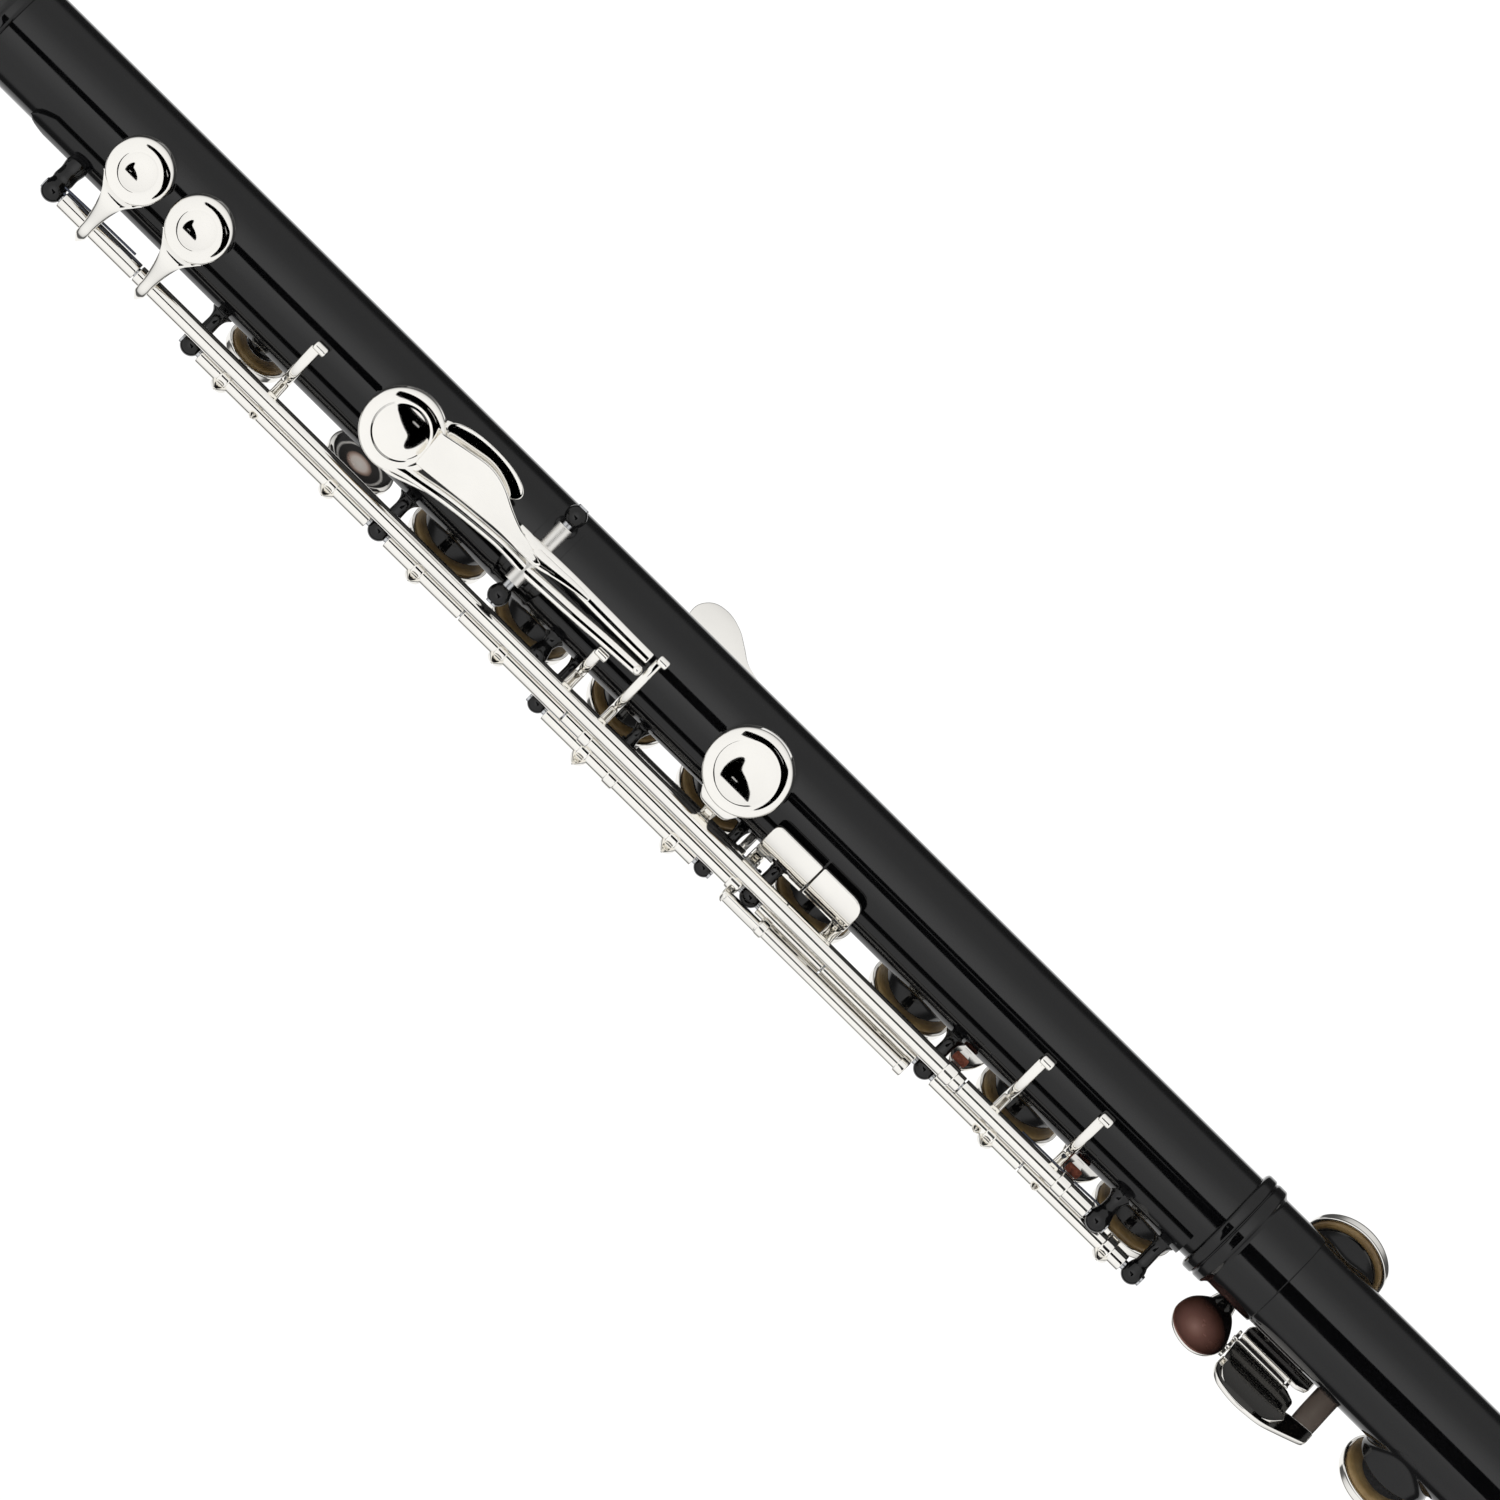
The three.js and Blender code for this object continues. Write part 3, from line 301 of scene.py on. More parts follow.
LACQUER = lacquer()
SILVER = silver("silver_plate", base=(0.955, 0.935, 0.89), smoothest=0.03, roughest=0.09)
STEEL = steel("rod_steel", base=(0.62, 0.63, 0.65))
SKIN = pad_skin()
CORK = cork()
PAD_MIDDLE_SHADE = pad_middle_shade()
SATIN = silver("silver_satin", base=(0.93, 0.915, 0.875), smoothest=0.34, roughest=0.46)
SPRING = steel("spring_steel", base=(0.09, 0.10, 0.13))


# ------------------------------------------------------------------ placing shapes
# A shape is (list of Vector in mm, list of faces).
def merge(*shapes):
    verts, faces = [], []
    for shape_verts, shape_faces in shapes:
        offset = len(verts)
        verts += shape_verts
        faces += [tuple(i + offset for i in face) for face in shape_faces]
    return verts, faces


def place(shape, matrix):
    return [matrix @ p for p in shape[0]], shape[1]


def swing(line, degrees):
    """Turn about a hinge line parallel to X."""
    y, z = line
    return (Matrix.Translation((0, y, z)) @ Matrix.Rotation(math.radians(degrees), 4, "X")
            @ Matrix.Translation((0, -y, -z)))


def aim(axis, point=(0, 0, 0)):
    """Carry local Z to an axis through a point."""
    turn = Vector((0, 0, 1)).rotation_difference(Vector(axis).normalized())
    return Matrix.Translation(point) @ turn.to_matrix().to_4x4()


TO_X = aim(ALONG)


def polar(radius, degrees, x):
    """Point round the bore; the angle runs from +Y towards +Z."""
    angle = math.radians(degrees)
    return Vector((x, radius * math.cos(angle), radius * math.sin(angle)))


def back(x, across, out):
    """Point from coordinates at the back."""
    return Vector((x, HALF_ROOT * (across + out), HALF_ROOT * (across - out)))


# ------------------------------------------------------------------ outlines
def rounded(corners, closed=False, steps=4):
    """Corners are (a, b[, radius]); those with a radius are rounded."""
    points = []
    count = len(corners)
    for i, corner in enumerate(corners):
        radius = corner[2] if len(corner) > 2 else 0
        if radius <= 0 or (not closed and i in (0, count - 1)):
            points.append((corner[0], corner[1]))
            continue
        before = Vector(corners[(i - 1) % count][:2])
        here = Vector(corner[:2])
        after = Vector(corners[(i + 1) % count][:2])
        to_before, to_after = (before - here).length, (after - here).length
        cut = min(radius, to_before * 0.49, to_after * 0.49)
        start = here + (before - here) * (cut / to_before)
        end = here + (after - here) * (cut / to_after)
        for k in range(steps + 1):
            t = k / steps
            point = start * (1 - t) ** 2 + here * 2 * t * (1 - t) + end * t * t
            points.append((point.x, point.y))
    return points


def dense_outline(corners, step=0.8, steps=6):
    """Closed rounded outline, with its long runs divided."""
    outline = rounded(corners, True, steps)
    points = []
    for i, (u, v) in enumerate(outline):
        next_u, next_v = outline[(i + 1) % len(outline)]
        parts = max(1, int(math.dist((u, v), (next_u, next_v)) / step))
        points += [(u + (next_u - u) * j / parts, v + (next_v - v) * j / parts)
                   for j in range(parts)]
    return points


def signed_power(value, power):
    return math.copysign(abs(value) ** power, value)


def superellipse(width, height, sides, power):
    angles = [2 * math.pi * (k + 0.5) / sides for k in range(sides)]
    return [(width / 2 * signed_power(math.cos(a), 2 / power),
             height / 2 * signed_power(math.sin(a), 2 / power)) for a in angles]


def spline(points, steps=6, closed=False):
    """Catmull-Rom curve through points of any dimension."""
    count = len(points)
    curve = []
    for i in range(count if closed else count - 1):
        p0 = points[(i - 1) % count] if closed or i > 0 else points[i]
        p1, p2 = points[i], points[(i + 1) % count]
        p3 = points[(i + 2) % count] if closed or i + 2 < count else p2
        for k in range(steps):
            t = k / steps
            curve.append(tuple(
                0.5 * (2 * b + (c - a) * t + (2 * a - 5 * b + 4 * c - d) * t * t
                       + (3 * b - a - 3 * c + d) * t ** 3)
                for a, b, c, d in zip(p0, p1, p2, p3)))
    if not closed:
        curve.append(tuple(points[-1]))
    return curve


# ------------------------------------------------------------------ solids
def bridge(a, b):
    """Quads between two rings of vertex indices."""
    count = len(a)
    return [(a[k], a[(k + 1) % count], b[(k + 1) % count], b[k]) for k in range(count)]


def lathe(profile, sides, matrix=None, closed=False):
    """Profile of (radius, height) turned about local Z; long runs get a loop near each end."""
    held = []
    count = len(profile)
    for i, (radius, height) in enumerate(profile):
        held.append((radius, height))
        if i == count - 1 and not closed:
            break
        next_radius, next_height = profile[(i + 1) % count]
        run = math.dist((radius, height), (next_radius, next_height))
        if run > 1.3:
            held += [(radius + (next_radius - radius) * t, height + (next_height - height) * t)
                     for t in (0.12 / run, 1 - 0.12 / run)]
    verts, faces, rings = [], [], []
    for radius, height in held:
        start = len(verts)
        if radius < 1e-6:
            verts.append(Vector((0, 0, height)))
        else:
            angles = [2 * math.pi * k / sides for k in range(sides)]
            verts += [Vector((radius * math.cos(a), radius * math.sin(a), height))
                      for a in angles]
        rings.append(list(range(start, len(verts))))
    for i in range(len(rings) if closed else len(rings) - 1):
        a, b = rings[i], rings[(i + 1) % len(rings)]
        if len(a) == 1 and len(b) == 1:
            continue
        if len(a) == 1:
            faces += [(a[0], b[(k + 1) % sides], b[k]) for k in range(sides)]
        elif len(b) == 1:
            faces += [(a[k], a[(k + 1) % sides], b[0]) for k in range(sides)]
        else:
            faces += bridge(a, b)
    shape = verts, faces
    return shape if matrix is None else place(shape, matrix)


def lathe_x(profile, sides=TUBE_SIDES, closed=True):
    """Profile of (x, radius[, fillet]) turned about the bore axis."""
    return lathe([(radius, x) for x, radius in rounded(profile, closed)], sides, TO_X, closed)


def rod(radius, x0, x1, line, sides=32, bevel=0.12, bore=0.0):
    """Round rod or tube on a hinge line."""
    corners = [(bore, x0), (radius, x0, bevel), (radius, x1, bevel), (bore, x1)]
    hollow = bore > 0
    shape = lathe(rounded(corners, hollow), sides, closed=hollow)
    return place(shape, Matrix.Translation((0, *line)) @ TO_X)


def hinge_tube(x0, x1, line, radius=1.75):
    return rod(radius, x0, x1, line, sides=40, bevel=0.18, bore=HINGE_BORE)


def collar(x, line, width=2.2, radius=2.15):
    return rod(radius, x - width / 2, x + width / 2, line, bevel=0.35)


def pin(radius, start, end, bevel=0.12):
    """Round bar between two points."""
    length = (end - start).length
    profile = rounded([(0, 0), (radius, 0, bevel), (radius, length, bevel), (0, length)])
    return lathe(profile, 24, aim(end - start, start))


def ball(radius, centre, rings=16):
    angles = [math.pi * i / rings for i in range(rings + 1)]
    profile = [(radius * math.sin(a) if 0 < i < rings else 0, -radius * math.cos(a))
               for i, a in enumerate(angles)]
    return lathe(profile, 32, Matrix.Translation(centre))


def stations(points, sizes):
    return [(*point, *size) for point, size in zip(points, sizes)]


def sweep(rows, up=ALONG, power=4.5, steps=6, sides=20, smooth=True, cap=0.22):
    """Bar through rows of (x, y, z, width along up, thickness), its ends eased over cap."""
    if smooth and len(rows) > 2:
        rows = spline(rows, steps)
    centres = [Vector(row[:3]) for row in rows]
    up = Vector(up).normalized()
    verts, faces, rings = [], [], []

    def ring(centre, tangent, width, thick, trim=0.0, least=0.0):
        axis = (up - tangent * up.dot(tangent)).normalized()
        side = tangent.cross(axis)
        section = superellipse(max(width - trim * cap, least), max(thick - trim * cap, least),
                               sides, power)
        start = len(verts)
        verts.extend(centre + axis * a + side * b for a, b in section)
        rings.append(list(range(start, start + sides)))

    last = len(centres) - 1
    for i, centre in enumerate(centres):
        tangent = (centres[min(i + 1, last)] - centres[max(i - 1, 0)]).normalized()
        width, thick = rows[i][3:]
        if i == 0:
            ring(centre, tangent, width, thick, trim=2, least=0.05)
            ring(centre + tangent * cap * 0.3, tangent, width, thick, trim=0.6, least=0.06)
            centre = centre + tangent * cap
        if i == last:
            ring(centre - tangent * cap, tangent, width, thick)
            ring(centre - tangent * cap * 0.3, tangent, width, thick, trim=0.6, least=0.06)
            ring(centre, tangent, width, thick, trim=2, least=0.05)
        else:
            ring(centre, tangent, width, thick)
    for a, b in zip(rings, rings[1:]):
        faces += bridge(a, b)
    for end, is_last in ((rings[0], False), (rings[-1], True)):
        verts.append(sum((verts[i] for i in end), Vector()) / sides)
        middle = len(verts) - 1
        for k in range(sides):
            a, b = end[k], end[(k + 1) % sides]
            faces.append((a, b, middle) if is_last else (b, a, middle))
    return verts, faces


FINE_RINGS = (0.2, 0.4, 0.55, 0.7, 0.82, 0.92)


def below(surface_height, drop):
    return lambda u, v: surface_height(u, v) - drop


def puck(outline, top, bottom, edge, centre=None, matrix=None, scales=(0.25, 0.5, 0.7, 0.84)):
    """Plate over a star-shaped outline; top and bottom give heights over (u, v).

    edge is the rounding radius, scales are where the rings within the outline lie.
    """
    outline = [Vector(p) for p in outline]
    count = len(outline)
    centre = Vector(centre) if centre else sum(outline, Vector((0, 0))) / count
    verts, faces, rings = [], [], []

    def point(surface_height, u, v, lift=0.0):
        verts.append(Vector((u, v, surface_height(u, v) + lift)))

    def ring(surface_height, scale=None, inset=0.0, lift=0.0):
        start = len(verts)
        for corner in outline:
            spoke = corner - centre
            length = max(spoke.length, 1e-6)
            spot = centre + spoke * (scale if scale is not None else max(0, 1 - inset / length))
            point(surface_height, spot.x, spot.y, lift)
        rings.append(list(range(start, start + count)))

    point(top, centre.x, centre.y)
    for scale in scales:
        ring(top, scale)
    quarter = [math.pi / 2 * k / 4 for k in range(5)]
    for a in quarter:
        ring(top, inset=edge * (1 - math.sin(a)), lift=-edge * (1 - math.cos(a)))
    for a in quarter:
        ring(bottom, inset=edge * (1 - math.cos(a)), lift=edge * (1 - math.sin(a)))
    for scale in reversed(scales):
        ring(bottom, scale)
    point(bottom, centre.x, centre.y)
    last = len(verts) - 1
    around = [(k, (k + 1) % count) for k in range(count)]
    faces += [(0, rings[0][k], rings[0][j]) for k, j in around]
    for a, b in zip(rings, rings[1:]):
        faces += [(a[k], b[k], b[j], a[j]) for k, j in around]
    faces += [(rings[-1][k], last, rings[-1][j]) for k, j in around]
    shape = verts, faces
    return shape if matrix is None else place(shape, matrix)


# ------------------------------------------------------------------ making objects
def link_object(name, data):
    obj = bpy.data.objects.new(name, data)
    bpy.context.scene.collection.objects.link(obj)
    return obj


def add(name, shape, material, body, replaced=None, second=None, pick=None):
    """Make a piece; faces for which pick is true take the second material."""
    verts, faces = shape
    mesh = bpy.data.meshes.new(name)
    mesh.from_pydata([tuple(p * MM) for p in verts], [], faces)
    bm = bmesh.new()
    bm.from_mesh(mesh)
    bmesh.ops.remove_doubles(bm, verts=bm.verts, dist=2e-7)
    bmesh.ops.dissolve_degenerate(bm, edges=bm.edges, dist=1e-7)
    bmesh.ops.recalc_face_normals(bm, faces=bm.faces)
    for face in bm.faces:
        face.smooth = True
        if pick:
            face.material_index = int(pick(face))
    for edge in bm.edges:
        if len(edge.link_faces) == 2 and edge.calc_face_angle(0) > math.radians(40):
            edge.smooth = False
    bm.to_mesh(mesh)
    bm.free()
    obj = link_object(name, mesh)
    mesh.materials.append(material)
    if second:
        mesh.materials.append(second)
    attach(obj, body)
    if replaced:
        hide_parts(replaced)


# ------------------------------------------------------------------ tubes and drawn tone holes
def tube_wall(x0, x1, steps, radius, is_open):
    """Grid round the bore, without the faces that touch an opening."""
    verts, faces = [], []
    for i in range(steps + 1):
        x = x0 + (x1 - x0) * i / steps
        for k in range(TUBE_SIDES):
            a = 2 * math.pi * k / TUBE_SIDES
            verts.append(Vector((x, radius(x) * math.cos(a), radius(x) * math.sin(a))))
    opened = [is_open(p) for p in verts]
    for i in range(steps):
        row = range(i * TUBE_SIDES, (i + 1) * TUBE_SIDES)
        next_row = range((i + 1) * TUBE_SIDES, (i + 2) * TUBE_SIDES)
        faces += [quad for quad in ((a, b, c, d) for a, b, c, d in bridge(row, next_row))
                  if not any(opened[j] for j in quad)]
    return verts, faces


def holed_tube(x0, x1, radius, holes, margin=0.62):
    cuts = [(hole, hole.frame.inverted(), (hole.inner + margin + 0.25) ** 2) for hole in holes]

    def is_open(p):
        for hole, inverse, limit in cuts:
            if abs(p.x - hole.x) > hole.outer + 1:
                continue
            q = inverse @ p
            if q.z > 0 and q.x * q.x + q.y * q.y < limit:
                return True
        return False

    return tube_wall(x0, x1, max(2, int((x1 - x0) / 1.2)), lambda x: radius, is_open)


def end_ring(x, r0, r1):
    verts, faces = [], []
    for k in range(TUBE_SIDES):
        a = 2 * math.pi * k / TUBE_SIDES
        verts += [Vector((x, r * math.cos(a), r * math.sin(a))) for r in (r0, r1)]
        j = (k + 1) % TUBE_SIDES
        faces.append((2 * k, 2 * k + 1, 2 * j + 1, 2 * j))
    return verts, faces


def chimney(hole, sides=72, flare=1.7):
    """Tone hole wall: up from the bore, over a rolled rim and down a flare to the tube."""
    inner = hole.inner
    wall = inner + 0.62
    verts, faces = [], []
    for k in range(sides):
        a = 2 * math.pi * k / sides
        c, s = math.cos(a), math.sin(a)

        def on_tube(reach, radius):
            return math.sqrt(max(radius * radius - (reach * s) ** 2, 0.01))

        column = [(inner, on_tube(inner, BORE_R) - 0.05), (inner, hole.seat - 0.45)]
        for j in range(1, 7):
            t = math.pi * j / 6
            column.append((inner + 0.31 - 0.31 * math.cos(t), hole.seat - 0.36 + 0.36 * math.sin(t)))
        base = on_tube(wall, TUBE_R)
        flare_top = min(base + flare, hole.seat - 0.7)
        column.append((wall, flare_top))
        start, corner = Vector((wall, flare_top)), Vector((wall, base + 0.05))
        end = Vector((wall + flare, on_tube(wall + flare, TUBE_R) + 0.02))
        for j in range(1, 9):
            t = j / 8
            q = start * (1 - t) ** 2 + corner * 2 * t * (1 - t) + end * t * t
            if j < 8:
                q.y = max(q.y, on_tube(q.x, TUBE_R) + 0.02)
            column.append((q.x, q.y))
        verts += [Vector((reach * c, reach * s, height)) for reach, height in column]
    n = len(column)
    for k in range(sides):
        k2 = (k + 1) % sides
        faces += [(k * n + j, k2 * n + j, k2 * n + j + 1, k * n + j + 1) for j in range(n - 1)]
    return place((verts, faces), hole.frame)


def body_tube():
    start, shoulder, end, tenon_r = 235, 543.3, 554.4, 9.7
    holes = BODY_HOLES.values()
    add("body_tube_skin", merge(
        holed_tube(start, shoulder, TUBE_R, holes),
        holed_tube(start, end, BORE_R, holes, margin=0.2),
        end_ring(start, BORE_R, TUBE_R), end_ring(shoulder, tenon_r, TUBE_R),
        holed_tube(shoulder, end, tenon_r, []), end_ring(end, BORE_R, tenon_r),
        *[chimney(hole) for hole in holes]), LACQUER, "body", "body_tube")


def foot_tube():
    holes = FOOT_HOLES.values()
    # (x, radius[, fillet])
    socket = [(555.0, 9.87), (543.5, 9.87), (543.5, 10.5, .25), (543.9, 11.2, .5),
              (545.7, 11.2, .5), (546.05, 10.75, .2), (546.4, 11.1, .45), (548.3, 11.1, .5),
              (548.75, 10.55, .3), (549.2, 10.15, .2), (559.1, 10.15, .12),
              (559.25, TUBE_R), (559.3, TUBE_R)]
    end_bead = [(663.4, 9.8), (663.7, 10.35, .2), (665.4, 10.35, .35), (665.6, 9.9, .2),
                (665.4, 9.5)]
    add("foot_tube_skin", merge(
        lathe_x(socket, closed=False), holed_tube(559.3, 663.4, TUBE_R, holes),
        holed_tube(555.0, 665.4, BORE_R, holes, margin=0.2), end_ring(555.0, BORE_R, 9.87),
        lathe_x(end_bead, closed=False), *[chimney(hole) for hole in holes]),
        LACQUER, "foot", "foot_tube")


def barrel():
    profile = [(198.0, 9.97), (198.0, 10.8, .15), (198.6, 11.3, .3), (200.6, 11.3, .4),
               (201.2, 10.75, .2), (202.0, 10.62, .1), (237.8, 10.62, .1), (238.5, 10.8, .15),
               (238.9, 11.2, .35), (240.5, 11.2, .4), (241.1, 10.6, .2), (241.1, 9.97)]
    add("barrel_sleeve", lathe_x(profile), LACQUER, "body", "barrel")


# ------------------------------------------------------------------ head joint
def head_tube():
    start, end = 8.5, 234

    def widening(x):
        return min(1, max(0, (x - 60) / 110))

    def outer(x):
        return 9.2 + 0.55 * widening(x)

    def inner(x):
        return 8.72 + 0.58 * widening(x)

    def is_open(p):
        return p.z > 0 and ((p.x - EMBOUCHURE_X) / 7.0) ** 2 + (p.y / 6.0) ** 2 < 1

    end_band = [(8.5, 9.15), (8.5, 9.55, .2), (10.6, 9.55, .3), (10.9, 9.15, .1)]
    add("head_tube_skin", merge(
        tube_wall(start, end, 180, outer, is_open), tube_wall(start, end, 180, inner, is_open),
        end_ring(start, inner(start), outer(start)), end_ring(end, inner(end), outer(end)),
        lathe_x(end_band)), LACQUER, "head", "head_tube")


MOUTH_SIDES = 96
MOUTH_POWER = 2 / 2.4
LIP_RISE, LIP_TOP_R, LIP_UNDER_R, LIP_FALL = 1.2, 13.4, 12.5, 0.0014


def closed_loft(verts):
    """Join rings of MOUTH_SIDES vertices, the last one back to the first."""
    rings = [range(i, i + MOUTH_SIDES) for i in range(0, len(verts), MOUTH_SIDES)]
    faces = []
    for a, b in zip(rings, rings[1:] + rings[:1]):
        faces += bridge(a, b)
    return verts, faces


def lip_plate():
    """Oval curved shell round the embouchure hole."""
    verts = []
    spread = [0.0, 0.03, 0.08, 0.16, 0.28, 0.42, 0.56, 0.7, 0.82, 0.91, 0.96, 0.985, 1.0]
    # (hole 0 .. rim 1, curvature radius, lift): the top eases down at the hole and the rim
    rows = [(s, LIP_TOP_R, -0.25 * (1 - min(1, s / 0.05)) ** 2
             - 0.35 * max(0, (s - 0.955) / 0.045) ** 2) for s in spread]
    rows += [(s, LIP_UNDER_R, 0.0) for s in reversed(spread)]
    for s, radius, lift in rows:
        for k in range(MOUTH_SIDES):
            a = 2 * math.pi * k / MOUTH_SIDES
            c, sine = math.cos(a), math.sin(a)
            rim_x, rim_y = 26 * signed_power(c, 0.9), 13.0 * signed_power(sine, 0.9)
            hole_x = 6.1 * signed_power(c, MOUTH_POWER)
            hole_y = 5.15 * signed_power(sine, MOUTH_POWER)
            x = EMBOUCHURE_X + hole_x + (rim_x - hole_x) * s
            y = hole_y + (rim_y - hole_y) * s
            z = (LIP_RISE + math.sqrt(max(radius * radius - y * y, 0.01))
                 - LIP_FALL * (x - EMBOUCHURE_X) ** 2)
            verts.append(Vector((x, y, z + lift)))
    add("lip_plate_skin", closed_loft(verts), SILVER, "head", "lip_plate")


def riser():
    """Wall between the head tube and the lip plate."""
    # (half length, half width, reaches the lip plate, lift)
    rows = [(6.12, 5.17, False, -0.65), (6.12, 5.17, True, 0.05), (7.3, 6.3, True, 0.05),
            (7.7, 6.7, False, 1.2), (8.6, 7.5, False, 0.0)]
    verts = []
    for half_x, half_y, at_lip, lift in rows:
        for k in range(MOUTH_SIDES):
            a = 2 * math.pi * k / MOUTH_SIDES
            x = half_x * signed_power(math.cos(a), MOUTH_POWER)
            y = half_y * signed_power(math.sin(a), MOUTH_POWER)
            if at_lip:
                z = LIP_RISE + math.sqrt(LIP_UNDER_R ** 2 - y * y) + lift - LIP_FALL * x * x
            else:
                z = math.sqrt(9.25 ** 2 - y * y) + lift
            verts.append(Vector((EMBOUCHURE_X + x, y, z)))
    add("riser_skin", closed_loft(verts), SILVER, "head", "riser")


def crown_and_stopper():
    # profiles of (x, radius[, fillet])
    crown = [(0, 0), (0, 6.2, .5), (0.45, 7.6, .8), (1.7, 8.9, .8), (3.2, 9.45, .5),
             (5.1, 9.45, .2), (5.5, 9.05, .2), (6.3, 9.05, .2), (6.7, 9.45, .2), (8.2, 9.45, .2),
             (8.2, 8.4, .1), (13.5, 8.4, .2), (13.5, 2.4), (4, 2.4), (4, 0)]
    add("crown_cap", lathe_x(crown, closed=False), LACQUER, "crown", "crown")
    thread_r, crest_r = 1.72, 2.0
    screw = [(7.5, 0), (7.5, 1.6, .2), (8.0, crest_r)]
    for i in range(26):
        x = 8.4 + i * 0.75
        screw += [(x, thread_r), (x + 0.37, crest_r)]
    screw += [(28.2, crest_r), (43.2, crest_r, .2), (43.2, 8.3, .15), (44.7, 8.3, .25), (44.7, 0)]
    add("stopper_screw_skin", lathe_x(screw, sides=48, closed=False), STEEL, "stopper",
        "stopper_screw")
    plug = [(30.2, 2.3), (30.2, 8.45, .3), (34, 8.5, 1), (38, 8.4, 1), (42.9, 8.45, .3),
            (42.9, 2.3)]
    add("stopper_cork_skin", lathe_x(plug), CORK, "stopper", "stopper_cork")
    plate = [(28.4, 2.3), (28.4, 8.3, .3), (29.9, 8.3, .3), (29.9, 2.3)]
    add("stopper_plate_skin", lathe_x(plate), STEEL, "stopper", "stopper_plate")


# ------------------------------------------------------------------ posts, straps and rods
def ball_post(foot, head, ball_r, lower, neck_r, neck_drop, shoulder_drop):
    """Turned post with a ball round its head; the drops are in ball radii."""
    length = (head - foot).length
    profile = rounded([(0, 0), *lower, (neck_r, length - ball_r * neck_drop, .3),
                       (ball_r * 0.82, length - ball_r * shoulder_drop, .2),
                       (ball_r * 0.86, length - ball_r * 0.62, .1)])
    sweep_angle = math.pi - math.asin(0.86)
    for k in range(1, 15):
        t = sweep_angle * (1 - k / 14)
        profile.append((ball_r * math.sin(t) if k < 14 else 0, length + ball_r * math.cos(t)))
    return lathe(profile, 40, aim(head - foot, foot))


def post(x, line, ball_r=2.1, stem=1.25, foot=None, foot_r=2.3):
    head = Vector((x, *line))
    if foot is None:
        reach = math.hypot(*line)
        foot = Vector((x, line[0] / reach * 9.7, line[1] / reach * 9.7))
    lower = [(foot_r, 0), (foot_r, 0.9, .3), (stem + 0.25, 1.7, .8), (stem, 2.8, .8)]
    return ball_post(foot, head, ball_r, lower, stem + 0.12, 1.12, 0.78)


def scalloped_strap(x0, x1, low_angle, high_angle, holes, r0=9.75, r1=10.75, notch=None,
                    nose=None):
    """Strap on the tube that clears the tone holes.

    notch is (x0, x1, low angle there); nose is the length of a rounded start.
    """
    clearance, step, runs, ease = 0.8, 0.8, 28, 1.4
    steps = int((x1 - x0) / step)
    middle = (low_angle + high_angle) / 2
    verts, faces = [], []
    for i in range(steps + 1):
        x = x0 + (x1 - x0) * i / steps
        low, high = low_angle, high_angle
        if nose and x - x0 < nose:
            f = math.sqrt(max(0.0, (x - x0) / nose))
            low, high = middle + (low - middle) * f, middle + (high - middle) * f
        for hole in holes:
            offset, reach = x - hole.x, hole.outer + clearance
            if abs(offset) < reach:
                half_chord = math.sqrt(reach * reach - offset * offset)
                spread = math.degrees(math.asin(min(1, half_chord / 9.9)))
                centre = 90 + hole.angle
                if centre < middle:
                    low = max(low, centre + spread)
                else:
                    high = min(high, centre - spread)
        if notch and notch[0] < x < notch[1]:
            low = max(low, notch[2])
        row = [(low, r0), (low, r1 - 0.28), (low + ease * 0.35, r1 - 0.07), (low + ease, r1)]
        row += [(low + ease + (high - low - 2 * ease) * k / runs, r1) for k in range(1, runs)]
        row += [(high - ease, r1), (high - ease * 0.35, r1 - 0.07), (high, r1 - 0.28), (high, r0)]
        verts += [polar(radius, angle, x) for angle, radius in row]
    count = len(row)
    for i in range(steps):
        faces += bridge(range(i * count, (i + 1) * count),
                        range((i + 1) * count, (i + 2) * count))
    faces.append(tuple(range(count)))
    faces.append(tuple(reversed(range(steps * count, (steps + 1) * count))))
    return verts, faces


def plain_strap(x0, x1, r0, r1, low_angle, high_angle, steps=40, bevel=0.12):
    """Curved strap with rounded outer edges."""
    section = rounded([(x0, r0), (x0, r1, bevel), (x1, r1, bevel), (x1, r0)], steps=3)
    count = len(section)
    verts, faces, rings = [], [], []
    for i in range(steps + 1):
        angle = low_angle + (high_angle - low_angle) * i / steps
        rings.append(range(len(verts), len(verts) + count))
        verts += [polar(radius, angle, x) for x, radius in section]
    for a, b in zip(rings, rings[1:]):
        for k in range(count):
            j = (k + 1) % count
            faces.append((a[k], b[k], b[j], a[j]))
    faces.append(tuple(reversed(rings[0])))
    faces.append(tuple(rings[-1]))
    return verts, faces


def body_posts():
    posts = [post(x, MAIN) for x in (303.5, 350.4, 443.3, 486.8, 538.7)]
    posts += [post(266.9, TRILL, ball_r=2.28, stem=1.95),
              post(527.5, TRILL, ball_r=2.25, stem=1.45),
              post(386.1, (TRILL[0] * 0.9, TRILL[1] * 0.9), ball_r=1.9)]
    posts += [post(x, G_LINE, ball_r=1.9, stem=1.05, foot=polar(TUBE_R, 64, x), foot_r=1.8)
              for x in (392.1, 433.7)]
    posts.append(post(408.6, G_SHARP_LINE, ball_r=1.45, stem=1.0, foot_r=1.7))
    holes = [HOLES[key] for key in ("trill_dsharp", "trill_d", "thumb_b", "g_sharp")]
    strap = scalloped_strap(254.6, 541.6, -4, 33, holes, notch=(369.6, 378.2, 16), nose=4)
    add("main_rib_posts", merge(strap, *posts), LACQUER, "body", "main_rib")


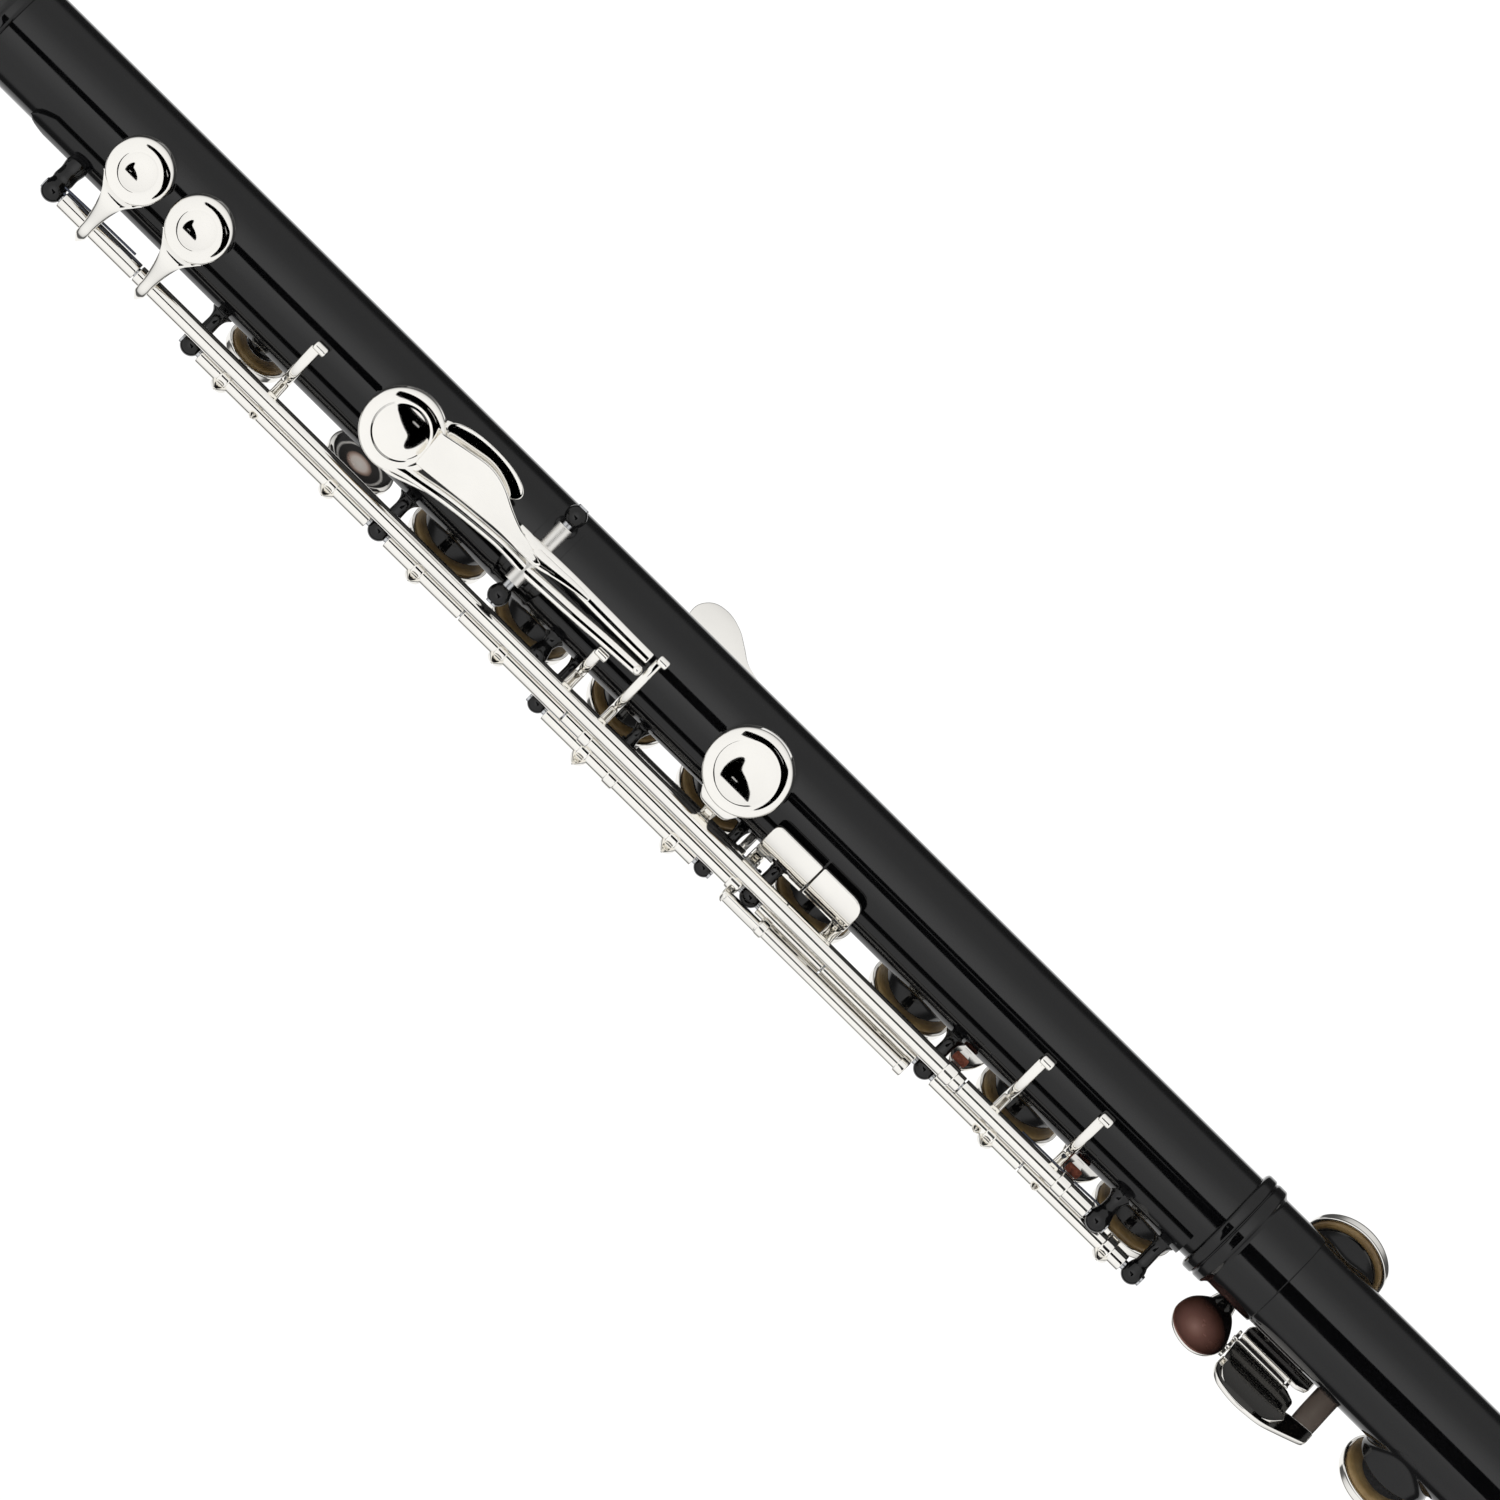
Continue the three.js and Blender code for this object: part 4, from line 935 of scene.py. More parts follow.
def thumb_saddle():
    parts = []
    # (across, foot's share of the head's distance from the axis)
    for across, share in ((-7.8, 0.63), (11.7, 0.57)):
        stem = 1.2
        lower = [(2.3, 0), (2.3, 0.8, .3), (stem + 0.3, 1.6, .8), (stem, 2.6, .6)]
        parts.append(ball_post(back(THUMB_X, across * share, THUMB_OUT * share),
                               back(THUMB_X, across, THUMB_OUT), 2.1, lower, stem, 1.1, 0.76))
    parts.append(plain_strap(370.6, 377.2, 9.7, 10.02, -84, 12))
    add("thumb_saddle_skin", merge(*parts), LACQUER, "body", "thumb_saddle")


def screw_end(point, axis, radius=1.15):
    """Screw head at the end of a rod."""
    profile = rounded([(0, -0.5), (radius, -0.5), (radius, 0.28, .15), (0, 0.28)], steps=3)
    return lathe(profile, 24, aim(axis, point))


def hinge_rod(name, x0, x1, line, body):
    shape = merge(rod(0.95, x0, x1, line, sides=24), screw_end((x0, *line), (-1, 0, 0)),
                  screw_end((x1, *line), (1, 0, 0)))
    add(name + "_skin", shape, STEEL, body, name)


def body_rods():
    for row in (("c_sharp_rod", 301.6, 349.9, MAIN, "body"),
                ("upper_rod", 350.9, 442.9, MAIN, "b_flat"),
                ("lower_rod", 443.7, 540.6, MAIN, "f_sharp"),
                ("trill_rod", 265.0, 529.4, TRILL, "trill_dsharp"),
                ("g_rod", 390.4, 435.4, G_LINE, "body"),
                ("g_sharp_rod", 407.3, 441.4, G_SHARP_LINE, "body")):
        hinge_rod(*row)
    low, high = back(THUMB_X, -9.7, THUMB_OUT), back(THUMB_X, 13.6, THUMB_OUT)
    add("thumb_axle_skin", merge(pin(0.95, low, high), screw_end(high, ACROSS_BACK, 1.1),
                                 screw_end(low, -ACROSS_BACK, 1.1)), STEEL, "body", "thumb_axle")


# ------------------------------------------------------------------ cups, pads and arms
def pad_cup(hole, dish_r=None, curve_r=28, lift=0.0):
    """Key cup about local Z; a positive curve radius is hollow, a negative one domed."""
    cup = hole.cup
    if dish_r is None:
        dish_r = cup * 0.66
    low = hole.seat + PAD_GAP + 0.9
    ceiling = hole.seat + PAD_GAP + PAD_THICK + 0.12
    top = ceiling + 0.8 + lift

    def rise(r):
        return math.copysign(abs(curve_r) - math.sqrt(curve_r ** 2 - r * r), curve_r)

    depth = rise(dish_r)
    profile = [(0, top - depth - 0.1)]
    profile += [(dish_r * k / 10, top - depth - 0.1 + rise(dish_r * k / 10))
                for k in range(1, 10)]
    profile += rounded([
        (dish_r * 0.93, top - 0.1 - depth + rise(dish_r * 0.93)), (dish_r, top - 0.06, .12),
        (dish_r + 0.3, top + 0.02, .12), (cup - 1.4, top - 0.05, .6),
        (cup - 0.32, top - 0.34, .25), (cup - 0.05, top - 0.85, .2), (cup, low + 0.5, .1),
        (cup + 0.08, low + 0.18, .08), (cup, low, .05), (cup - 0.38, low, .05),
        (cup - 0.38, ceiling)])
    profile.append((0, ceiling))
    return lathe(profile, 96)


def add_pad(key, matrix, body):
    """Pad with a near-black middle painted as shade under the cup, and the washer and screw that
    hold it.
    """
    hole = HOLES[key]
    low = hole.seat + PAD_GAP
    r = hole.cup - 0.52
    profile = [(0, low + 0.02), (r - 3.4, low + 0.02)]
    profile += rounded([(r - 2.9, low + 0.22, .2), (r - 2.2, low, .3), (r - 0.7, low, .4),
                        (r, low + 0.5, .45), (r - 0.02, low + PAD_THICK)], steps=5)
    profile.append((0, low + PAD_THICK))
    inverse = matrix.inverted()

    # faces in the middle take the painted shade
    def in_middle(face):
        spot = inverse @ (face.calc_center_median() / MM)
        return math.hypot(*spot.xy) < hole.cup - 3.3

    add(key + "_pad_skin", place(lathe(profile, 96), matrix), SKIN, body, key + "_pad",
        second=PAD_MIDDLE_SHADE, pick=in_middle)
    washer = rounded([(0, low - 0.18), (1.0, low - 0.18, .1), (1.0, low), (3.4, low, .1),
                      (3.4, low + 0.3), (0, low + 0.3)], steps=3)
    add(key + "_washer", place(lathe(washer, 48), matrix), STEEL, body)


def pointed_arm(x, line, reach, crown, tail=4.9, side=1):
    """Pointed arm over a cup, from its middle over the rim to the hinge line and past it."""
    y, z = line
    shape = sweep([
        (x, -0.4, crown - 0.05, 0.25, 0.5), (x, 2.2, crown + 0.25, 1.3, 0.95),
        (x, reach * 0.66, crown + 0.62, 2.5, 1.25), (x, reach + 0.2, crown + 0.62, 3.6, 1.5),
        (x, y - 1.4, z + 1.75, 4.0, 1.9), (x, y + 0.7, z + 1.35, 3.5, 1.9),
        (x, y + 0.7 + (tail - 0.7) * 0.45, z + 0.7, 2.5, 1.6), (x, y + tail, z - 0.1, 0.3, 0.35),
    ], power=3.2, steps=8)
    return [Vector((p.x, p.y * side, p.z)) for p in shape[0]], shape[1]


def hole_arm(hole, line, x=0.0, tail=4.9, side=1):
    """Pointed arm in a hole's frame; side -1 sends it towards -Y."""
    y, z = turned(line, -hole.angle)
    return pointed_arm(x, (side * y, z), hole.cup, hole.crown, tail, side)


def back_hook(x, width, end_angle, tip=True, nub=False):
    """Arm hooking from the main hinge line round the back of the tube."""
    path = [Vector((x, 12.5, 12.0)), polar(13.9, 39, x), polar(12.0, 29, x)]
    turns = 7
    path += [polar(11.75, 29 + (end_angle - 29) * i / turns, x) for i in range(1, turns + 1)]
    sizes = [(width * 1.15, 1.5), (width, 1.3), (width, 1.15)] + [(width, 1.1)] * turns
    parts = [sweep(stations(path, sizes), power=2.1)]
    if nub:
        parts.append(sweep([(x, 12.4, 13.3, width, 1.3), (x, 14.2, 13.1, width, 1.3),
                            (x, 15.4, 12.7, 1.7, 1.1), (x, 16.7, 12.0, 0.3, 0.3)], power=2.6))
    if tip:
        end = polar(11.9, end_angle - 2, x)
        parts.append(pin(0.95, end + Vector((-width * 0.35, 0, 0)),
                         end + Vector((width * 0.95, 0, 0)), bevel=0.5))
    return merge(*parts)


def clutch_plate(x0, x1, low_angle, high_angle, start_corner=0.4, end_corner=0.4):
    """Curved plate hugging the tube."""
    per_degree = math.radians(1) * 11.7
    length = (high_angle - low_angle) * per_degree
    outline = dense_outline([(x0, 0, start_corner), (x1, 0, end_corner), (x1, length, .4),
                             (x0, length, .4)], step=0.7)
    verts, faces = puck(outline, lambda u, v: 12.25, lambda u, v: 11.25, 0.22,
                        scales=(0.2, 0.4, 0.6, 0.75, 0.88))
    return [polar(p.z, low_angle + p.y / per_degree, p.x) for p in verts], faces


# ------------------------------------------------------------------ keys on the main line
MAIN_OPEN = swing(MAIN, -OPEN_ANGLE)


def main_key(key, tube_start, tube_end, arm_x=0.0, extra=(), tail=4.9, has_collar=True,
             curve_r=28):
    hole = HOLES[key]
    pose = MAIN_OPEN @ hole.frame
    parts = [place(pad_cup(hole, curve_r=curve_r), pose), hinge_tube(tube_start, tube_end, MAIN),
             place(hole_arm(hole, MAIN, arm_x, tail), pose)]
    if has_collar:
        parts.append(collar(hole.x + arm_x, MAIN))
    add(key + "_key_skin", merge(*parts, *extra), SILVER, key, key + "_key")
    add_pad(key, pose, key)


def c_sharp_key():
    """Small key with a dished round touch on the same tube."""
    crown = HOLES["c_sharp"].crown
    arm_x = 338.9
    main_key("c_sharp", 305.9, 348.0, arm_x=-0.4, curve_r=16, extra=[
        collar(arm_x, MAIN), back_hook(320.2, 2.1, -29, nub=True),
        place(pointed_arm(arm_x, MAIN, 7.0, crown), MAIN_OPEN)])
    profile = [(0, crown - 0.1), (2, crown - 0.04), (4.6, crown + 0.22)]
    profile += rounded([(5.2, crown + 0.36), (6.4, crown + 0.62, .2), (7.0, crown + 0.2, .3),
                        (6.95, crown - 1.0, .3), (6.2, crown - 1.25, .25),
                        (5.7, crown - 0.8, .3), (3.0, crown - 0.62, .6), (0, crown - 0.6)])
    touch = lathe(profile, 96, Matrix.Translation((TOUCH_X, 0, 0)))
    # Painted reflection on the touch's underside: a light centre, a dark ring, a thin bright ring
    # and a dark rim stand in for what the silver mirrors.
    underside_painted_reflection = radial_painted_light(
        "button_underside_painted_reflection", centre=tuple(MAIN_OPEN @ Vector((TOUCH_X, 0.9, crown - 0.6))),
        radii=(6.4, 5.6, 6.4),
        stops=[(0.10, (1.0, 0.93, 0.86)), (0.36, (0.92, 0.80, 0.72)), (0.47, (0.50, 0.34, 0.27)),
               (0.56, (0.02, 0.015, 0.012)), (0.80, (0.008, 0.007, 0.007)),
               (0.86, (0.75, 0.72, 0.68)), (0.92, (0.02, 0.02, 0.02)), (1.05, (0.02, 0.02, 0.02))],
        metallic=0.6, smoothest=0.18, roughest=0.30)

    def is_underside(face):
        spot = face.calc_center_median()
        return face.normal.z < -0.35 and math.hypot(spot.x / MM - TOUCH_X, spot.y / MM) < 6.3

    add("c_sharp_touch_skin", place(touch, MAIN_OPEN), SILVER, "c_sharp", second=underside_painted_reflection,
        pick=is_underside)


def main_keys():
    c_sharp_key()
    main_key("b_flat", 352.8, 371.3, arm_x=-0.3)
    main_key("a", 371.6, 396.9, extra=[back_hook(393.7, 2.1, -11)])
    main_key("f_sharp", 445.7, 461.2, tail=1.6, has_collar=False, extra=[
        clutch_plate(449.15, 459.4, -17.5, 26, end_corner=3.2),
        back_hook(457.9, 2.8, 10, tip=False)])
    main_key("f", 461.5, 484.4, tail=1.6, has_collar=False)
    main_key("e", 489.2, 511.0, extra=[back_hook(500.8, 2.0, -31, nub=True)])
    main_key("d", 511.3, 536.3, extra=[back_hook(515.4, 2.0, -31, nub=True)])


def b_flat_bridge():
    leg = sweep(stations(
        [polar(11.8, 22, 439.1), polar(11.8, 31, 439.1), Vector((439.1, 8.7, 8.4)),
         Vector((439.1, 8.2, 10.9)), Vector((439.1, 9.9, 13.0)), Vector((439.1, 12.4, 13.6))],
        [(2.8, 1.1)] * 6), power=4)
    bracket = merge(
        sweep([(439.9, 13.2, 13.3, 2.3, 1.6), (439.9, 16.6, 13.6, 2.3, 1.7),
               (440.4, 17.2, 13.7, 2.3, 1.5)], up=(0, 0, 1), power=4),
        sweep([(439.3, 16.7, 13.6, 2.3, 1.7), (444.0, 16.75, 13.6, 2.3, 1.7),
               (449.0, 16.7, 13.6, 2.3, 1.7)], up=(0, 0, 1), power=4))
    add("b_flat_bridge_skin", merge(
        hinge_tube(397.2, 441.0, MAIN), back_hook(402.6, 1.8, -44),
        clutch_plate(437.75, 448.85, -16.7, 30, start_corner=1.6), leg, bracket,
        rod(1.35, 447.6, 484.3, BRIDGE, bevel=.15), rod(1.7, 447.9, 449.6, BRIDGE, bevel=.3),
        rod(1.7, 482.6, 484.4, BRIDGE, bevel=.3), collar(402.6, MAIN),
        collar(439.6, MAIN, 2.6)), SILVER, "b_flat", "b_flat_bridge")


def g_key():
    parts = [hinge_tube(394.3, 431.5, G_LINE), collar(410.9, G_LINE, 2.4, 2.1)]
    for key in ("g_upper", "g_lower"):
        hole = HOLES[key]
        pose = swing(G_LINE, -OPEN_ANGLE) @ hole.frame
        parts += [place(pad_cup(hole), pose), place(hole_arm(hole, G_LINE), pose),
                  collar(hole.x, G_LINE)]
        add_pad(key, pose, "g")
    add("g_key_skin", merge(*parts), SILVER, "g", "g_key")


# ------------------------------------------------------------------ trill keys
def trill_key(key, tube_start, tube_end, curve_r, extra=()):
    """Cup whose arm narrows from the rim and ends in a point over the hinge tube."""
    hole = HOLES[key]
    x, cup, crown = hole.x, hole.cup, hole.crown
    y, z = TRILL
    path = [hole.rodward(cup - 2.2, crown - 0.95), hole.rodward(cup - 1.0, crown - 0.85),
            hole.rodward(cup + 1.4, crown - 0.35), (y + 2.1, z - 3.4), (y + 2.15, z - 0.2),
            (y + 1.9, z + 1.4), (y + 1.5, z + 3.6)]
    sizes = [(10.0, 0.8), (8.0, 0.9), (4.6, 1.1), (2.5, 1.25), (2.3, 1.4), (2.2, 1.3),
             (0.35, 0.45)]
    arm = sweep(stations([Vector((x, *p)) for p in path], sizes), power=2.2, steps=8)
    shape = merge(place(pad_cup(hole, 3.6, curve_r, lift=0.25), hole.frame), arm,
                  collar(x, TRILL, 2.0, 2.1), hinge_tube(tube_start, tube_end, TRILL), *extra)
    add(key + "_key_skin", shape, SILVER, key, key + "_key")
    add_pad(key, hole.frame, key)


def trill_touch(x, half_width):
    arm = sweep([(x, 14.9, 8.6, 2.4, 1.5), (x, 11.6, 9.2, 2.3, 1.2), (x, 9.2, 11.2, 2.2, 1.2),
                 (x, 6.2, 13.7, 2.4, 1.2), (x, 3.0, 14.9, 2.8, 1.1), (x, 0.5, 15.0, 2.4, 0.9)],
                power=3.5)
    # (share of the half width, y)
    corners = [(-0.35, 5.4), (0.35, 5.4), (0.9, 1.6), (1, -2.0), (0.62, -4.9), (0, -5.7),
               (-0.62, -4.9), (-1, -2.0), (-0.9, 1.6)]
    outline = spline([(x + half_width * share, y) for share, y in corners], closed=True)
    plate = puck(outline, lambda u, v: 15.75 - 0.012 * (u - x) ** 2 - 0.006 * (v + 1) ** 2,
                 lambda u, v: 14.6 - 0.006 * (v + 1) ** 2, 0.32, (x, -0.6))
    return merge(arm, plate, collar(x, TRILL, 2.6))


def trill_keys():
    trill_key("trill_d", 288.0, 493.4, curve_r=8.2, extra=[trill_touch(490.4, 3.6)])
    trill_key("trill_dsharp", 269.2, 287.7, curve_r=7.3)
    add("trill_dsharp_touch_skin",
        merge(hinge_tube(493.7, 525.2, TRILL), trill_touch(518.6, 4.2)),
        SILVER, "trill_dsharp", "trill_dsharp_touch")
    # cork blocks under the two touches
    for key, x in (("trill_d", 490.2), ("trill_dsharp", 518.4)):
        block = sweep([(x, 10.0, 8.1, 3.0, 1.7), (x, 8.2, 10.1, 3.0, 1.7)], power=6,
                      smooth=False, cap=0.1)
        add(key + "_cork", block, CORK, key)


# ------------------------------------------------------------------ G sharp key
def g_sharp_key():
    hole = HOLES["g_sharp"]
    x, cup, crown = hole.x, hole.cup, hole.crown
    path = [Vector((x, *hole.rodward(cup - 1.2, crown - 0.9))),
            Vector((x, *hole.rodward(cup + 0.7, crown - 1.6))),
            polar(15.2, 6, x), polar(13.3, 14, x), polar(12.5, 25, x), polar(13.2, 36, x),
            Vector((x, G_SHARP_LINE[0], G_SHARP_LINE[1] - 0.9))]
    sizes = [(8.6, 1.1), (6.4, 1.2), (4.2, 1.25), (3.2, 1.3), (2.8, 1.3), (2.6, 1.3), (2.4, 1.2)]
    cup_arm = sweep(stations(path, sizes), power=3.4, steps=7)
    arm_x = 436.2
    over_arm = sweep([
        (arm_x, 10.6, 10.6, 1.7, 1.3), (arm_x, 7.6, 12.5, 1.7, 1.3), (arm_x, 3.2, 13.5, 1.7, 1.3),
        (arm_x, -2.6, 13.3, 1.7, 1.3), (arm_x, -8.2, 11.0, 1.7, 1.3), (435.9, -12.6, 7.0, 1.7, 1.3),
        (434.6, -14.8, 5.5, 2.6, 1.2)], power=3.5)
    # touch outline, as (x, y)
    outline = spline([
        (436.6, -13.3), (436.6, -15.3), (428, -16.5), (420, -16.9), (414.6, -18.0),
        (411.5, -20.2), (408.6, -22.4), (405.2, -23.6), (402.0, -22.8), (400.0, -19.8),
        (400.3, -16.7), (402.6, -14.6), (410, -13.2), (424, -13.1)], closed=True)

    def middle(u, v):
        return 5.9 - 0.62 * (-v - 13) + 0.032 * (-v - 13) ** 2

    touch = puck(outline, below(middle, -0.55), below(middle, 0.55), 0.35, (409.5, -17.2),
                 scales=FINE_RINGS)
    add("g_sharp_key_skin", merge(
        place(pad_cup(hole, 5.7, 17, lift=0.45), hole.frame), cup_arm, over_arm, touch,
        hinge_tube(410.4, 436.9, G_SHARP_LINE, 1.5), collar(x, G_SHARP_LINE, 2.6, 1.9),
        collar(arm_x, G_SHARP_LINE, 1.9, 1.85)), SILVER, "g_sharp", "g_sharp_key")
    add_pad("g_sharp", hole.frame, "g_sharp")


# ------------------------------------------------------------------ thumb keys
THUMB_AXLE = back(THUMB_X, 0, THUMB_OUT)


def back_bar(rows):
    """Bar from rows of (along, across, out, width across, thickness) at the back."""
    return place(sweep(rows, up=(0, 1, 0), power=3.0), BACK_FRAME)


def axle_tube(start, end, radius=1.62):
    profile = rounded([(HINGE_BORE, start), (radius, start, .15), (radius, end, .15),
                       (HINGE_BORE, end)], True)
    return lathe(profile, 40, aim(ACROSS_BACK, THUMB_AXLE), closed=True)


def thumb_key():
    hole = HOLES["thumb_b"]
    opened = (Matrix.Translation(THUMB_AXLE)
              @ Matrix.Rotation(math.radians(-THUMB_OPEN_ANGLE), 4, ACROSS_BACK)
              @ Matrix.Translation(-THUMB_AXLE))
    arm = back_bar([
        (343.6, 8.2, 13.2, 3.6, 1.1), (346.0, 7.7, 13.6, 2.8, 1.2), (349.5, 7.1, 13.9, 2.3, 1.4),
        (356.5, 5.9, 14.0, 2.4, 1.5), (366.3, 5.05, 13.9, 2.2, 1.5), (370.5, 5.0, 13.6, 2.3, 1.6),
        (373.9, 5.2, 13.2, 2.6, 1.8)])
    web = back_bar([(341.0, 9.4, 12.9, 2.0, 0.9), (344.5, 9.0, 13.1, 2.6, 0.9),
                    (348.5, 8.1, 13.4, 1.8, 0.9), (352.5, 7.2, 13.6, 0.8, 0.8)])
    tail = back_bar([
        (373.9, 5.2, 13.2, 2.6, 1.8), (379, 5.0, 13.1, 2.4, 1.6), (386, 4.7, 12.8, 2.3, 1.5),
        (394, 4.2, 12.7, 2.2, 1.4), (401.2, 3.9, 12.6, 2.0, 1.3)])
    oval_x, oval_y, half_length, half_width = 355.4, -3.4, 9.2, 2.95
    outline = [(oval_x + u, oval_y + v)
               for u, v in superellipse(2 * half_length, 2 * half_width, 64, 2.1)]

    def face(u, v):
        return 15.5 - 0.125 * (v - oval_y)

    def dished(u, v):
        share = min(1.0, math.hypot((u - oval_x) / half_length, (v - oval_y) / half_width))
        return face(u, v) - 0.10 * (1 - share ** 14)

    touch = puck(outline, dished, below(face, 1.1), 0.28, matrix=BACK_FRAME,
                 scales=(0.25, 0.5, 0.7, 0.82, 0.9, 0.95))
    touch_neck = back_bar([(345.9, -2.8, 15.0, 2.4, 0.9), (347.6, -3.3, 14.9, 2.6, 0.8),
                           (350.6, -3.4, 14.8, 2.0, 0.6)])
    cup = place(pad_cup(hole, 5.2, -20), hole.frame)
    add("thumb_b_key_skin", merge(
        place(merge(cup, arm, web, touch, touch_neck), opened), tail,
        ball(0.95, back(400.7, 3.95, 12.65))), SILVER, "thumb_b", "thumb_b_key")
    add("thumb_b_tube_skin", axle_tube(2.2, 8.5), SATIN, "thumb_b")
    add_pad("thumb_b", opened @ hole.frame, "thumb_b")


def thumb_lever():
    outline = dense_outline([
        (347.1, 5.5, .5), (346.6, -1.7, .6), (352.6, -2.9, 2.5), (357.4, -3.75, 2.5),
        (361.4, -2.9, 2.5), (365.3, -0.8, 2.5), (368.3, 0.5, 2), (371.8, 1.5, 1), (375.6, 2.7, .4),
        (375.2, 3.5, .4), (370.5, 3.7, 3), (366.0, 3.6, 3), (357, 4.5, 3)], steps=7)

    def face(u, v):
        return 21.2 - 0.13 * (u - 347) - 0.26 * (v + 1.8)

    paddle = puck(outline, face, below(face, 1.1), 0.32, (358.5, 0.9), BACK_FRAME, FINE_RINGS)
    bar = back_bar([
        (368.0, 0.75, 16.6, 1.9, 1.2), (370.5, 0.9, 15.9, 2.3, 1.5), (373.0, 1.0, 14.6, 2.5, 1.8),
        (376.5, 0.9, 13.7, 2.5, 1.6), (382, 0.85, 13.4, 2.5, 1.5), (390, 0.95, 13.2, 2.5, 1.4),
        (396, 1.0, 13.0, 2.4, 1.4), (401.0, 1.0, 12.9, 2.3, 1.4)])
    neck = back_bar([(362.0, 2.0, 17.3, 2.0, 0.8), (366.5, 2.0, 16.7, 2.4, 1.2),
                     (370.0, 1.6, 16.0, 2.2, 1.6), (372.6, 1.1, 14.8, 1.8, 1.8)])
    hub = back_bar([
        (365.6, 2.3, 16.6, 1.0, 0.7), (369.0, 2.4, 15.7, 2.5, 0.8), (372.0, 2.3, 15.3, 3.0, 0.8),
        (375.0, 2.2, 15.1, 3.0, 0.8), (378.5, 1.75, 14.9, 2.2, 0.8), (382.5, 1.3, 14.2, 1.6, 0.9),
        (386.0, 1.1, 13.6, 1.0, 0.9)])
    add("thumb_lever_tube_skin", axle_tube(-5.2, 1.9), SATIN, "thumb_lever")
    add("thumb_lever_skin", merge(paddle, bar, neck, hub), SILVER, "thumb_lever",
        "thumb_b_flat_lever")


# ------------------------------------------------------------------ foot joint
C_ROLLER, C_SHARP_ROLLER = (3.0, 16.6), (5.7, 16.9)     # roller axes, as (y, z)


def faces_down(face):
    return face.normal.z < -0.3


def foot_posts():
    add("foot_rib_posts", merge(
        scalloped_strap(559.6, 646.5, 110, 158, FOOT_HOLES.values(), r1=10.9),
        scalloped_strap(550.0, 559.0, 112, 150, [], r0=10.1, r1=11.1),
        *[post(x, FOOT) for x in (551.2, 607.3, 643.0)]), LACQUER, "foot", "foot_rib")
    hinge_rod("foot_rod", 549.6, 644.8, FOOT, "foot_c")


def foot_dsharp_key():
    hole = HOLES["foot_dsharp"]
    # (height above the crown or radius, angle round the bore)
    crown = hole.crown
    path = [(crown + 0.1, 184), (crown + 0.6, 176), (crown + 1.15, 165), (crown + 2.2, 153.5),
            (18.3, 144), (17.9, 134), (18.4, 124)]
    sizes = [(0.3, 0.5), (1.6, 1.0), (2.6, 1.3), (3.6, 1.5), (3.8, 1.7), (3.4, 1.7), (0.5, 0.5)]
    cup_arm = sweep(stations([polar(r, a, hole.x) for r, a in path], sizes), power=3.2, steps=7)
    touch_arm = sweep([
        (555.2, -10.0, 13.6, 3.2, 1.7), (555.0, -6.0, 14.9, 3.0, 1.4), (554.9, -3.4, 15.8, 3.4, 1.3),
        (554.7, -1.2, 16.3, 4.6, 1.2), (554.6, 1.0, 16.6, 5.6, 0.9)], power=3.0)
    add("foot_dsharp_key_skin", merge(
        place(pad_cup(hole), hole.frame), cup_arm, touch_arm, hinge_tube(553.5, 571.4, FOOT),
        collar(hole.x, FOOT), collar(555.2, FOOT, 3.0)), SILVER, "foot_dsharp",
        "foot_dsharp_key")
    # egg-shaped touch, as (x, y)
    outline = spline([(548.6, 7.6), (549.3, 3.6), (551.6, 0.6), (554.4, -0.8), (557.3, 0.2),
                      (559.2, 3.4), (560.0, 7.2), (558.9, 10.8), (556.1, 13.0), (552.7, 12.9),
                      (549.9, 11.0)], closed=True)

    def face(u, v):
        return 17.6 - 0.010 * (v - 7) ** 2 - 0.006 * (u - 554.4) ** 2

    touch = puck(outline, face, below(face, 1.1), 0.4, (554.4, 6.4), scales=FINE_RINGS)
    # Painted reflection on the egg touch's underside: a warm light centre darkening to a black rim
    # stands in for what the silver mirrors.
    underside_painted_reflection = radial_painted_light(
        "egg_touch_painted_reflection", centre=(553.6, 8.2, 17.0), radii=(6.6, 7.6, 40),
        stops=[(0.08, (0.98, 0.56, 0.46)), (0.42, (0.52, 0.25, 0.20)), (0.80, (0.17, 0.07, 0.05)),
               (0.98, (0.012, 0.006, 0.006)), (1.08, (0.008, 0.006, 0.006))],
        metallic=0.35, smoothest=0.16, roughest=0.30)
    add("foot_dsharp_touch_skin", touch, SILVER, "foot_dsharp", second=underside_painted_reflection,
        pick=faces_down)
    add_pad("foot_dsharp", hole.frame, "foot_dsharp")


def foot_cup(key):
    """Open cup with its arm; its pad and washer are added on the way."""
    hole = HOLES[key]
    pose = swing(FOOT, OPEN_ANGLE) @ hole.frame
    add_pad(key, pose, key)
    return place(merge(pad_cup(hole), hole_arm(hole, FOOT, tail=3.6, side=-1)), pose)


def roller_ears(line, radius, toward):
    """The lugs at both ends of a roller; toward is the Y direction of their roots."""
    y, z = line
    parts = []
    for x0, x1 in ((559.95, 560.65), (572.35, 573.05)):
        x, width = (x0 + x1) / 2, abs(x1 - x0)
        parts += [rod(radius, x0, x1, line, bevel=.15),
                  sweep([(x, y, z, width, 1.5), (x, y + toward * 2.2, z + 0.4, width, 1.2)],
                        power=5, smooth=False, cap=0.1)]
    return merge(*parts)


